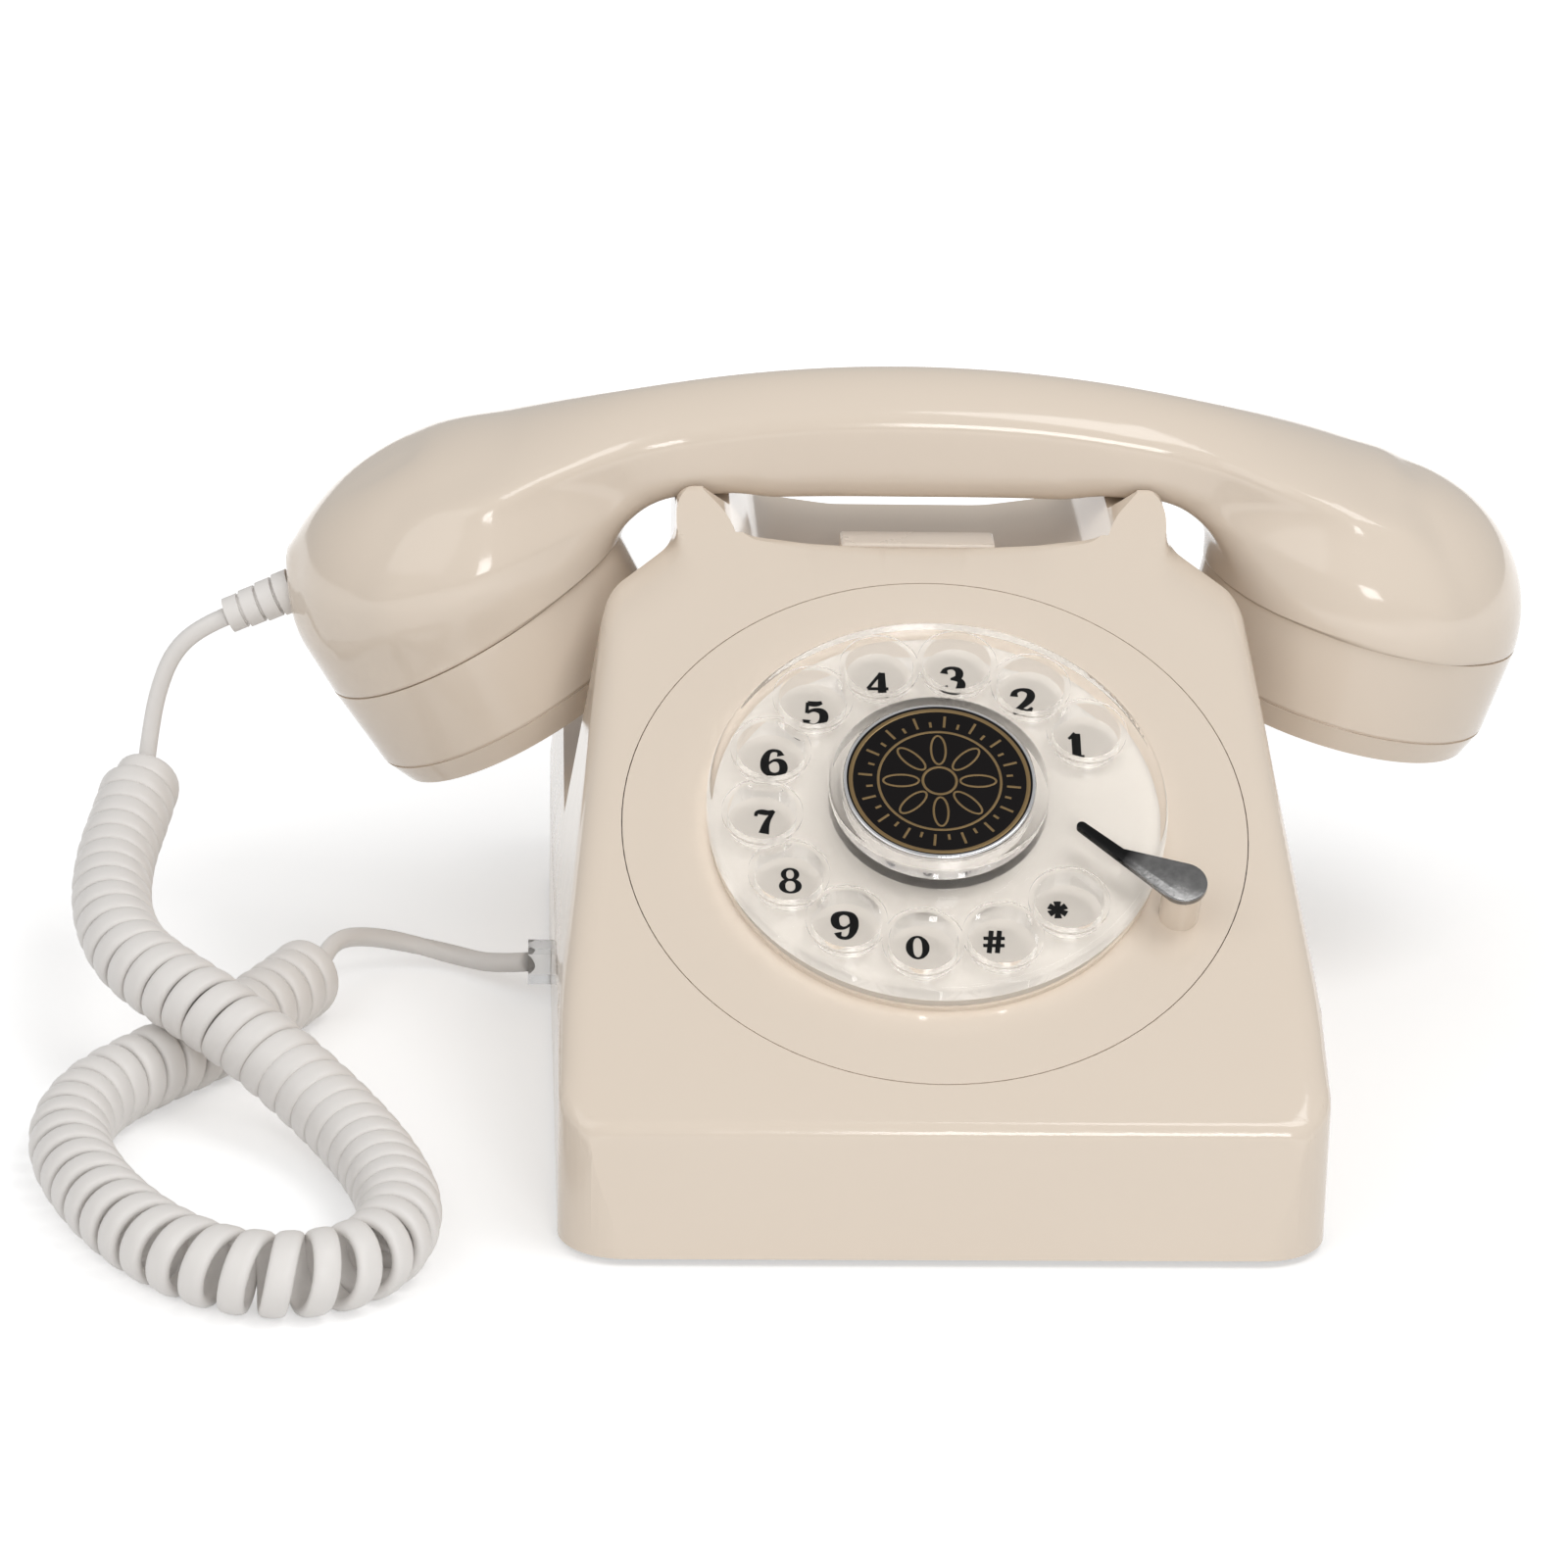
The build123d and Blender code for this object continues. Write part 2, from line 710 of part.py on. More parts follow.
def make_button_spring():
    """Coil spring under the button."""
    low = switch_board_z + board_thickness
    high = floor_z - wall - 0.2 - 1.9
    path = Helix(pitch=(high - low - 0.8) / 3, height=high - low - 0.8, radius=2.4)
    section = Plane(origin=path @ 0, z_dir=path % 0) * Circle(0.35)
    coil = sweep(section, path=path, is_frenet=True)
    return Pos(0, button_y, low + 0.4) * coil


def switch_posts():
    """Where the small switch board hangs under the cradle floor."""
    return [(side * (button_length / 2 + 7), button_y) for side in (-1, 1)]


def make_switch_board():
    """Small circuit board under the button, on two hangers from the cradle floor."""
    return block(-28, 28, button_y - 6.5, button_y + 6.5, switch_board_z, switch_board_z + board_thickness)


def make_hangers():
    """Spacers between the cradle floor and the switch board."""
    top = floor_z - wall
    return [Pos(x, y, 0) * disc(2.2, switch_board_z + board_thickness, top) for x, y in switch_posts()]


# Handset


def mouth_frame():
    """Frame at the middle of the mouthpiece's seam, with +Z up through the bell."""
    tilt = math.radians(mouth_tilt)
    origin = (mouth_x, handset_y, mouth_z)
    across, up = (math.cos(tilt), 0, math.sin(tilt)), (-math.sin(tilt), 0, math.cos(tilt))
    return Plane(origin=origin, x_dir=across, z_dir=up)


def ear_frame():
    """Frame at the middle of the earpiece's seam, with +Z up through the bell."""
    tilt = math.radians(ear_tilt)
    origin = (ear_x, handset_y, ear_z)
    across, up = (math.cos(tilt), 0, -math.sin(tilt)), (math.sin(tilt), 0, math.cos(tilt))
    return Plane(origin=origin, x_dir=across, z_dir=up)


def dome(radius, height, rounding):
    """Round bell above its seam, with a very low cone on top and a large round shoulder."""
    profile = outline([(0, 0), (radius, 0), (radius, height - 1), (0, height)], [0, 0, rounding, 0])
    return revolve(Plane.XZ * profile, Axis.Z)


def bells(inset):
    """Both bells of the handset, or the hollows in them."""
    radius = cap_radius - inset
    mouth = mouth_frame().location * dome(radius, mouth_dome - inset, mouth_rounding - inset)
    ear = ear_frame().location * dome(radius, ear_dome - inset, ear_rounding - inset)
    return mouth, ear


def crown(x):
    """Height of the top of the grip."""
    return grip_top - (x + 3) ** 2 / (2 * grip_arch_radius)


def grip(inset):
    """Arched grip between the bells, or the channel in it."""
    flare = [(-98, 18, 9, 5), (-84, 13, 15, 1.6), (-70, 10.5, 9, 0), (-57, 4.6, 2.6, 0), (-48, 1.7, 0.4, 0)]
    flare += [(-38, 0.9, 0, 0), (-26, 0.4, 0, 0), (-13, 0.1, 0, 0), (0, 0, 0, 0), (13, 0.1, 0, 0)]
    flare += [(26, 0.4, 0, 0), (38, 0.9, 0, 0), (48, 1.7, 0.4, 0), (57, 5.2, 2.6, 0)]
    flare += [(70, 12.5, 9, 0), (84, 16.5, 13, 2.2), (97, 21, 9, 6)]
    if inset:
        flare = flare[1:-1]
    sections = []
    for x, drop, spread, sink in flare:
        high = crown(x) - sink - inset
        low = grip_underside - drop + inset
        half = grip_depth / 2 + spread - inset
        plane = Plane(origin=(x, handset_y, (low + high) / 2), x_dir=(0, 1, 0), z_dir=(1, 0, 0))
        sections.append(plane * RectangleRounded(2 * half, high - low, grip_edge_radius - inset))
    return loft(sections)


def make_handset_shell():
    """Hollow handset with a threaded collar under each bell."""
    mouth, ear = bells(0)
    shell = grip(0) + mouth + ear
    for hollow in bells(shell_wall):
        shell -= hollow
    shell -= grip(shell_wall)
    for frame in (mouth_frame(), ear_frame()):
        collar = ring(collar_radius, collar_radius - 2, -4, 0.5)
        collar += ring(cap_radius - 1, collar_radius - 2, 0, 2)
        shell += frame.location * collar
    return shell - cylinder_between(relief_start, relief_end, relief_radius)


def cap():
    """Screwed cap of the handset, in its own frame: a cup with a round rim and a pattern of holes."""
    rim = -cap_height
    outer = [(0, 0), (cap_radius, 0), (cap_radius - 1.1, -cap_groove), (cap_rim_radius, rim), (0, rim - 1)]
    inner = [(0, 1), (cap_radius - cap_wall, 1), (cap_radius - 1.1 - cap_wall, -cap_groove)]
    inner += [(cap_rim_radius - cap_wall, rim + cap_wall), (0, rim + cap_wall - 1)]
    cup = revolve(Plane.XZ * make_face(Polyline(*outer, close=True)), Axis.Z)
    cup -= revolve(Plane.XZ * make_face(Polyline(*inner, close=True)), Axis.Z)
    groove = ring(cap_radius + 2, cap_radius - 1.6, -cap_groove - 0.3, -cap_groove + 0.3)
    cup -= groove
    hole = disc(1.4, rim - 5, rim + 5)
    cup -= hole
    for circle in (6.5, 13.0):
        for place in around(hole, circle, [60 * i + circle for i in range(6)]):
            cup -= place
    return cup


def capsule():
    """Receiver or microphone capsule, in the cap's frame."""
    low = -cap_height + cap_wall + 0.3
    return disc(capsule_radius, low, low + 7) + disc(capsule_radius - 6, low + 6, low + 11)


def make_weight():
    """Steel bar that gives the handset its weight."""
    z = grip_underside + shell_wall + 0.3
    return block(-30, 30, handset_y - 7, handset_y + 7, z, z + 6)


def make_strain_relief():
    """Ribbed sleeve where the cord leaves the mouthpiece end."""
    axis = Vector(*relief_end) - Vector(*relief_start)
    plane = Plane(origin=relief_start, z_dir=axis)
    sleeve = disc(relief_radius - 0.1, 0, 9)
    sleeve += disc(relief_radius - 1.4, 8, axis.length)
    count = 4
    rib = (axis.length - 9) / count
    for i in range(count):
        sleeve += disc(relief_radius - 0.1 - 0.25 * i, 9 + i * rib + 0.7, 9 + (i + 1) * rib)
    return plane.location * sleeve


# Ringer and line circuit


def make_gongs():
    """Two brass gongs on their posts."""
    gongs = []
    for side in (-1, 1):
        cup = disc(gong_radius, gong_level, gong_level + gong_height)
        cup = fillet(cup.edges().group_by(Axis.Z)[-1], 5)
        hollow = disc(gong_radius - gong_wall, gong_level - 1, gong_level + gong_height - gong_wall)
        hollow = fillet(hollow.edges().group_by(Axis.Z)[-1], 4)
        post = ring(4, screw_radius, gong_level, gong_level + gong_height - gong_wall + 0.1)
        body = cup - hollow + post - disc(screw_radius, 0, 60)
        gongs.append(Pos(side * gong_x, gong_y, 0) * body)
    return gongs


def make_gong_screws():
    """Screws through the gongs into their posts."""
    top = gong_level + gong_height
    screw = disc(3.2, top, top + 2) + disc(screw_radius - 0.05, gong_level + 1, top + 0.5)
    return [Pos(side * gong_x, gong_y, 0) * screw for side in (-1, 1)]


def make_coil():
    """Ringer coil on its bobbin, lying across the base."""
    x = coil_length / 2
    bar = bar_across(coil_y, coil_z, x, coil_radius)
    for side in (-1, 1):
        start = side * x
        end = start - side * 1.5
        bar += cylinder_between((start, coil_y, coil_z), (end, coil_y, coil_z), coil_radius + 1.5)
    return bar - bar_across(coil_y, coil_z, coil_length, core_radius + hole_gap)


def make_yoke():
    """Iron core and yoke around the coil."""
    x = coil_length / 2 + 0.2
    core = bar_across(coil_y, coil_z, x + 1, core_radius)
    low, high = coil_z - coil_radius - 2.5, coil_z + 7
    sides = block(-x - 2.5, -x, coil_y - 7, coil_y + 16, low, high)
    sides += block(x, x + 2.5, coil_y - 7, coil_y + 16, low, high)
    floor = block(-x - 2.5, x + 2.5, coil_y - 7, coil_y + 16, low, low + 0.7)
    return core + sides + floor


def make_clapper():
    """Armature, wire arm and ball that strike the gongs, on an upright pivot."""
    z = coil_z
    hub = Pos(0, clapper_y, 0) * ring(3.2, pivot_radius + running_gap, z - 4, z + 4)
    armature = block(-coil_length / 2 + 1, coil_length / 2 - 1, clapper_y - 1, clapper_y + 1, z - 4, z + 4)
    armature -= Pos(0, clapper_y, 0) * disc(pivot_radius + running_gap, 0, 60)
    arm = cylinder_between((0, clapper_y + 2, z), (0, gong_y, z), 0.8)
    ball = Pos(0, gong_y, z) * Sphere(3.0)
    return hub + armature + arm + ball


def make_clapper_pin():
    """Upright pin of the clapper, standing on the yoke's floor."""
    return Pos(0, clapper_y, 0) * disc(pivot_radius, coil_z - coil_radius - 1.8, coil_z + 6)


def make_board():
    """Main circuit board on its four standoffs."""
    x, y = board_width / 2, board_depth / 2
    return block(-x, x, board_y - y, board_y + y, board_level, board_level + board_thickness)


def make_transformer():
    """Line transformer: laminated core with its winding."""
    z = board_level + board_thickness
    y = board_y + board_depth / 2 - 12
    core = block(-34, -14, y - 8, y + 8, z, z + 16)
    return core + block(-31, -17, y - 10, y + 10, z + 3, z + 13)


def make_capacitors():
    """Can capacitors standing on the board."""
    z = board_level + board_thickness
    y = board_y + board_depth / 2 - 10
    return [Pos(-4 + 13 * i, y, 0) * disc(5, z, z + 14 - i) for i in range(3)]


def make_terminal_block():
    """Row of screw terminals on the board."""
    z = board_level + board_thickness
    strip = block(34, 44, board_y - 12, board_y + 28, z, z + 7)
    for i in range(5):
        strip -= Pos(39, board_y - 8 + 8 * i, 0) * disc(2, z + 5, z + 20)
    return strip


def make_chips():
    """Three integrated circuits on the board."""
    z = board_level + board_thickness
    return [block(-40 + 22 * i, -26 + 22 * i, board_y - 14, board_y - 7, z, z + 3) for i in range(3)]


# Jacks and cord


def cord_jack_hole():
    """Opening in the left wall for the handset cord's plug."""
    x = -half_width_rear
    y, z = plug_width / 2 + 0.6, plug_height / 2 + 0.6
    return block(x - 5, x + 2 * wall, plug_y - y, plug_y + y, plug_z - z, plug_z + z)


def make_cord_jack():
    """Jack inside the left wall that takes the plug."""
    x = cord_wall_x + wall + 0.5
    y, z = plug_width / 2, plug_height / 2
    body = block(x, x + plug_length + 2, plug_y - y - 2, plug_y + y + 2, base_top, plug_z + z + 2)
    y, z = y + 0.3, z + 0.3
    return body - block(x - 1, x + plug_length - 1, plug_y - y, plug_y + y, plug_z - z, plug_z + z)


def make_plug():
    """Plug on the lower end of the cord, in its jack."""
    x = cord_wall_x
    y, z = plug_width / 2, plug_height / 2
    return block(x - plug_tail, x + plug_length, plug_y - y, plug_y + y, plug_z - z, plug_z + z)


def line_jack_hole():
    """Opening in the back wall for the telephone line."""
    y = rear_y - wall - 2
    return block(line_jack_x - 6, line_jack_x + 6, y, rear_y + 5, base_top + 2, base_top + 10)


def make_line_jack():
    """Empty jack for the line, inside the back wall."""
    y = rear_y - wall - 1.7
    body = block(line_jack_x - 8, line_jack_x + 8, y - 16, y, base_top, base_top + 13)
    return body - block(line_jack_x - 5.6, line_jack_x + 5.6, y - 12, y + 1, base_top + 2.4, base_top + 9.6)


def cord_tube(points, radius):
    """Round tube of straight runs and arcs, each arc as large as its two runs allow."""
    route = [Vector(*point) for point in points]
    radii = []
    for before, corner, after in zip(route, route[1:], route[2:]):
        run_in, run_out = corner - before, after - corner
        half_turn = math.radians(run_in.get_angle(run_out)) / 2
        radii.append(0.45 * min(run_in.length, run_out.length) / math.tan(half_turn))
    path = FilletPolyline(*route, radius=radii)
    tube = sweep(Plane(origin=path @ 0, z_dir=path % 0) * Circle(radius), path=path)
    ratio = tube.volume / (math.pi * radius ** 2 * path.length)
    print(f"tube {path.length:.1f} mm, smallest arc {min(radii):.1f} mm, volume ratio {ratio:.4f}")
    return tube


lead_bend = Vector(*relief_end) + (Vector(*relief_end) - Vector(*relief_start)).normalized() * 6.2
upper_lead = [relief_end, tuple(lead_bend), (-145.8, 44.4, 64.0), (-148.9, 44.4, 55.5), (-150.4, 43.9, 47.0)]
curl = [(-151.3, 41.5, 39.8), (-153.4, 29.5, 35.4), (-155.8, 14.0, 31.6), (-155.4, -3.5, 28.4)]
curl += [(-151.2, -17.6, 25.8), (-143.4, -28.2, 24.2), (-134.6, -36.2, 22.0), (-125.8, -42.6, 18.2)]
curl += [(-117.0, -50.2, 13.6), (-108.2, -61.4, 9.8), (-101.0, -77.0, 8.1), (-96.9, -96.0, 8.0)]
curl += [(-101.2, -112.6, 7.9), (-112.4, -120.6, 8.0), (-127.2, -119.4, 7.9), (-141.0, -108.2, 8.0)]
curl += [(-152.8, -88.0, 7.9), (-160.2, -65.0, 8.0), (-156.8, -45.6, 7.9), (-147.0, -31.4, 8.0)]
curl += [(-136.0, -18.4, 7.9), (-126.0, -2.0, 8.0), (-116.4, 17.6, 7.9)]
lower_lead = [curl[-1], (-113.6, 27.4, 10.2), (-106.8, 34.8, 7.8), (-97.4, 37.8, 4.6), (-88.4, 34.6, 3.4)]
lower_lead += [(-82.2, 27.8, 4.8), (cord_wall_x - plug_tail, plug_y, plug_z)]


PIECES = {
    "case": make_case,
    "base_plate": make_base_plate,
    "rubber_feet": make_feet,
    "base_screws": make_base_screws,
    "dial_surround": lambda: on_dial(make_surround()),
    "number_plate": lambda: on_dial(make_number_plate()),
    "finger_wheel": lambda: on_dial(make_wheel()),
    "centre_ring": lambda: on_dial(make_ring()),
    "centre_badge": lambda: on_dial(make_badge()),
    "dial_spindle": lambda: on_dial(make_spindle()),
    "wheel_screw": lambda: on_dial(make_wheel_screw()),
    "finger_stop": lambda: on_dial(make_finger_stop()),
    "dial_chassis": lambda: on_dial(make_chassis()),
    "dial_pillars": lambda: [on_dial(pillar) for pillar in make_pillars()],
    "dial_bridge": lambda: on_dial(make_bridge()),
    "drive_gear": lambda: on_dial(make_main_gear()),
    "pulse_cam": lambda: on_dial(make_cam()),
    "return_spring": lambda: on_dial(make_return_spring()),
    "governor": lambda: on_dial(make_governor()),
    "governor_pinion": lambda: on_dial(make_pinion()),
    "pulse_contact_block": lambda: on_dial(make_pulse_contacts()[0]),
    "pulse_contact_leaves": lambda: on_dial(make_pulse_contacts()[1]),
    "hook_plungers": make_plungers,
    "hook_lever": make_lever,
    "lever_pivot_pin": make_pivot_pin,
    "recall_button": make_button,
    "button_spring": make_button_spring,
    "switch_board": make_switch_board,
    "board_hangers": make_hangers,
    "handset_shell": make_handset_shell,
    "mouthpiece_cap": lambda: mouth_frame().location * cap(),
    "earpiece_cap": lambda: ear_frame().location * cap(),
    "microphone_capsule": lambda: mouth_frame().location * capsule(),
    "receiver_capsule": lambda: ear_frame().location * capsule(),
    "handset_weight": make_weight,
    "strain_relief": make_strain_relief,
    "ringer_gongs": make_gongs,
    "gong_screws": make_gong_screws,
    "ringer_coil": make_coil,
    "ringer_yoke": make_yoke,
    "clapper": make_clapper,
    "clapper_pin": make_clapper_pin,
    "circuit_board": make_board,
    "line_transformer": make_transformer,
    "capacitors": make_capacitors,
    "terminal_block": make_terminal_block,
    "board_chips": make_chips,
    "cord_jack": make_cord_jack,
    "line_jack": make_line_jack,
    "cord_plug": make_plug,
    "cord_upper_lead": lambda: cord_tube(upper_lead + curl[:1], lead_radius),
    "cord_curl": lambda: cord_tube(curl, curl_radius),
    "cord_lower_lead": lambda: cord_tube(lower_lead, lead_radius),
}

os.makedirs("parts", exist_ok=True)
for name, make in PIECES.items():
    shape = make()
    parts = shape if isinstance(shape, (list, tuple)) else [shape]
    solids = [solid for part in parts for solid in part.solids()]
    piece = solids[0] if len(solids) == 1 else Compound(children=solids)
    export_step(piece, f"parts/{name}.step")
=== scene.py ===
# %% [markdown]
# A desk telephone with a rotary dial, dressed for a studio picture. The solid model of the
# telephone is loaded first and stays where it is. Everything made below is placed by its sizes.

# %% Load the solid model
import math
import bmesh
import bpy
import numpy as np
from mathutils import Matrix


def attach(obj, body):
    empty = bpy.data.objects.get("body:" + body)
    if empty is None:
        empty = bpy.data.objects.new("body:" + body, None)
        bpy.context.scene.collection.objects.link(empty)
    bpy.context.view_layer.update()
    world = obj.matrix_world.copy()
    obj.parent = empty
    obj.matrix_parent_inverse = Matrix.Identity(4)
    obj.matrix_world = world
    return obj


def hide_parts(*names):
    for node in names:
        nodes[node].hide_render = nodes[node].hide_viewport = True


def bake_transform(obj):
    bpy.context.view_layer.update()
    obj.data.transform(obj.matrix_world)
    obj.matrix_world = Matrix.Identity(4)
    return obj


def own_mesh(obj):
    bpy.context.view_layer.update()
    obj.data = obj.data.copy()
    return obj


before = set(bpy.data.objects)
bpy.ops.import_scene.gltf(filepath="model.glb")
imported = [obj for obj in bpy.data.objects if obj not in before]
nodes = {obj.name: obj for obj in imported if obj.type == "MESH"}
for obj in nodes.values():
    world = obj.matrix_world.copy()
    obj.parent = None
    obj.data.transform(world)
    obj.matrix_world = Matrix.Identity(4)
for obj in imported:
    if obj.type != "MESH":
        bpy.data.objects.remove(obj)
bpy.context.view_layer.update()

# %% [markdown]
# The camera stands well back with a long lens, a little to the left of the middle and about
# 21 degrees above the table, and it is rolled by just over a degree. A long lens keeps the
# handset's two ends the same size, as a product picture does.

# %% Camera
MM = 0.001
camera_turn = math.radians(-2.6)
camera_height = math.radians(21.13)
camera_roll = math.radians(1.35)
camera_distance = 1138.64 * MM
camera_target = np.array([-26.88, -10.06, 58.22]) * MM
camera_lens = 137.6
camera_sensor = 36
camera_range = 20
upwards = np.array([0, 0, 1.0])


def unit(vectors):
    """The same directions with a length of 1."""
    return vectors / np.linalg.norm(vectors, axis=-1, keepdims=True)


def camera_axes(turn, height, roll):
    """Right, up and back directions: back points from the target to the camera, and the roll
    turns right and up about it."""
    level = math.cos(height)
    back = np.array([math.sin(turn) * level, -math.cos(turn) * level, math.sin(height)])
    right = unit(np.cross(upwards, back))
    up = np.cross(back, right)
    c, s = math.cos(roll), math.sin(roll)
    return right * c + up * s, up * c - right * s, back


def linked(name, data):
    """A new object in the scene."""
    obj = bpy.data.objects.new(name, data)
    bpy.context.scene.collection.objects.link(obj)
    return obj


def placed(obj, location, right, up, back):
    """Set an object's place and its three directions."""
    rows = [[right[i], up[i], back[i], location[i]] for i in range(3)] + [[0, 0, 0, 1]]
    obj.matrix_world = Matrix(rows)


camera_data = bpy.data.cameras.new("camera")
camera = linked("camera", camera_data)
bpy.context.scene.camera = camera
camera_data.sensor_width = camera_sensor
camera_data.lens = camera_lens
camera_data.clip_end = camera_range
camera_right, camera_up, camera_back = camera_axes(camera_turn, camera_height, camera_roll)
camera_place = camera_target + camera_back * camera_distance
placed(camera, camera_place, camera_right, camera_up, camera_back)
print("camera at", [round(v, 3) for v in camera.location])

# %% [markdown]
# The handset and the cord are surfaces on a grid: one direction runs along the piece, the other
# goes round it. One helper makes rings of points round a path, and another turns rings into a
# closed mesh, with its rows joined round and its two ends filled.

# %% Mesh helpers


def dressed(mesh, material, smooth=True):
    """An object of this mesh, with its shading and its material."""
    mesh.polygons.foreach_set("use_smooth", np.full(len(mesh.polygons), smooth))
    mesh.update()
    mesh.materials.append(material)
    return linked(mesh.name, mesh)


def mesh_object(name, points, faces, material, smooth=True):
    """A mesh from points in metres and a list of faces, each with its corners' numbers."""
    mesh = bpy.data.meshes.new(name)
    mesh.from_pydata(np.asarray(points).tolist(), [], faces)
    return dressed(mesh, material, smooth)


def mesh_points(mesh):
    """A mesh's points as an array."""
    points = np.zeros(len(mesh.vertices) * 3, np.float32)
    mesh.vertices.foreach_get("co", points)
    return points.reshape(-1, 3).astype(float)


def circle(count):
    """Equal steps of angle round a circle."""
    return np.linspace(0, 2 * np.pi, count, endpoint=False)


def grid_faces(rows, columns):
    """Quads between neighbouring rows of a grid. The last column joins the first."""
    i, j = np.meshgrid(np.arange(rows - 1), np.arange(columns), indexing="ij")
    k = (j + 1) % columns
    corners = [i * columns + j, i * columns + k, (i + 1) * columns + k, (i + 1) * columns + j]
    return np.stack(corners, -1).reshape(-1, 4)


def tube_points(path, widths, heights, normals, sides, flat):
    """Rings round a path: each ring is an ellipse, width along the path's own side direction and
    height along its normal. Point = path + c * width / 2 * side + s * height / 2 * normal, where c
    and s are the cosine and sine of the angle round, each to the power flat with its own sign. A
    power under 1 makes the ring squarer."""
    tangent = unit(np.gradient(path, axis=0))
    normals = unit(normals - tangent * np.sum(normals * tangent, 1)[:, None])
    side = np.cross(normals, tangent)
    angle = circle(sides)
    c, s = (np.sign(v) * np.abs(v) ** flat for v in (np.cos(angle), np.sin(angle)))
    wide = c[None, :, None] * widths[:, None, None] / 2 * side[:, None]
    high = s[None, :, None] * heights[:, None, None] / 2 * normals[:, None]
    return path[:, None] + wide + high


def closed_tube(name, rings, material):
    """A mesh over rings of points, with a fan of triangles on a middle point at each end."""
    rows, columns = rings.shape[:2]
    points = np.concatenate([rings.reshape(-1, 3), rings[:1].mean(1), rings[-1:].mean(1)])
    faces = grid_faces(rows, columns).tolist()
    ring = np.arange(columns)
    after = (ring + 1) % columns
    last = (rows - 1) * columns
    middle = rows * columns
    faces += np.stack([np.full(columns, middle), after, ring], -1).tolist()
    faces += np.stack([np.full(columns, middle + 1), last + ring, last + after], -1).tolist()
    return mesh_object(name, points, faces, material)


# %% [markdown]
# Shared effects are node groups. Moulded plastic is never quite even: the colour drifts a little,
# fine grain breaks up the gloss, and handled places are duller. The group gives a mask for the
# colour, a roughness and a height for the bump from three noises of different scale.

# %% Node groups and material helpers
colour_drift = 0.5
bump_distance = 0.0002


def feed_socket(tree, socket, value):
    """Link a socket to another node's output, or set it to a constant."""
    if isinstance(value, bpy.types.NodeSocket):
        tree.links.new(value, socket)
    else:
        socket.default_value = value


def feed(tree, target, *values, **named):
    """Feed a node's inputs, in order or by name."""
    named = {name.replace("_", " "): value for name, value in named.items()}
    for key, value in [*enumerate(values), *named.items()]:
        feed_socket(tree, target.inputs[key], value)
    return target


def node(tree, kind, *values, operation=None, **named):
    """A new shader node with its inputs fed."""
    new = tree.nodes.new("ShaderNode" + kind)
    if operation:
        new.operation = operation
    return feed(tree, new, *values, **named)


def colour_mix(tree, share, first, second):
    """Output that turns from the first colour to the second as share grows."""
    mix = tree.nodes.new("ShaderNodeMix")
    mix.data_type = "RGBA"
    for i, value in ((0, share), (6, first), (7, second)):
        feed_socket(tree, mix.inputs[i], value)
    return mix.outputs[2]


def moulded_group():
    """Group 'moulded surface': slow noise drifts the colour, middle noise varies the roughness,
    fine noise is the height of a bump."""
    group = bpy.data.node_groups.new("moulded surface", "ShaderNodeTree")
    group.interface.new_socket("Vector", in_out="INPUT", socket_type="NodeSocketVector")
    for way, names in (("INPUT", ("Drift", "Rough low", "Rough high", "Grain")),
                       ("OUTPUT", ("Mask", "Roughness", "Height"))):
        for name in names:
            group.interface.new_socket(name, in_out=way, socket_type="NodeSocketFloat")
    given = group.nodes.new("NodeGroupInput").outputs
    made = group.nodes.new("NodeGroupOutput")
    slow, middle, fine = (node(group, "TexNoise", given["Vector"], Scale=scale, Detail=detail)
                          for scale, detail in ((18.0, 2.0), (90.0, 4.0), (given["Grain"], 2.0)))
    drift = node(group, "Math", slow.outputs["Fac"], given["Drift"], operation="MULTIPLY")
    rough = node(group, "MapRange", middle.outputs["Fac"], From_Min=0.35, From_Max=0.65,
                 To_Min=given["Rough low"], To_Max=given["Rough high"])
    feed(group, made, drift.outputs[0], rough.outputs["Result"], fine.outputs["Fac"])
    return group


moulded = moulded_group()


def new_material(name):
    """A material with nodes, and its tree."""
    material = bpy.data.materials.new(name)
    material.use_nodes = True
    return material, material.node_tree


def finish(name, colour, second, rough, covered="", grain=900.0, bump=0.02, metallic=0.0,
           transmission=0.0, ior=1.5):
    """A Principled material fed by the moulded-surface group, whose colour drifts towards second.
    It goes on the covered nodes."""
    material, tree = new_material(name)
    effect = tree.nodes.new("ShaderNodeGroup")
    effect.node_tree = moulded
    feed(tree, effect, node(tree, "TexCoord").outputs["Object"], colour_drift, *rough, grain)
    shader = feed(tree, tree.nodes["Principled BSDF"],
                  colour_mix(tree, effect.outputs["Mask"], (*colour, 1), (*second, 1)), metallic,
                  effect.outputs["Roughness"], ior, Transmission_Weight=transmission)
    if bump:
        height = node(tree, "Bump", Strength=bump, Distance=bump_distance,
                      Height=effect.outputs["Height"])
        feed(tree, shader, Normal=height.outputs["Normal"])
    for each in covered.split():
        nodes[each].data.materials.clear()
        nodes[each].data.materials.append(material)
    return material


# %% [markdown]
# The telephone's own finishes: glossy cream plastic for everything that is touched, clear plastic
# for the finger wheel, chrome, a satin printed plate, soft cord plastic, and plain steel, brass,
# circuit board and rubber for what is inside and underneath.

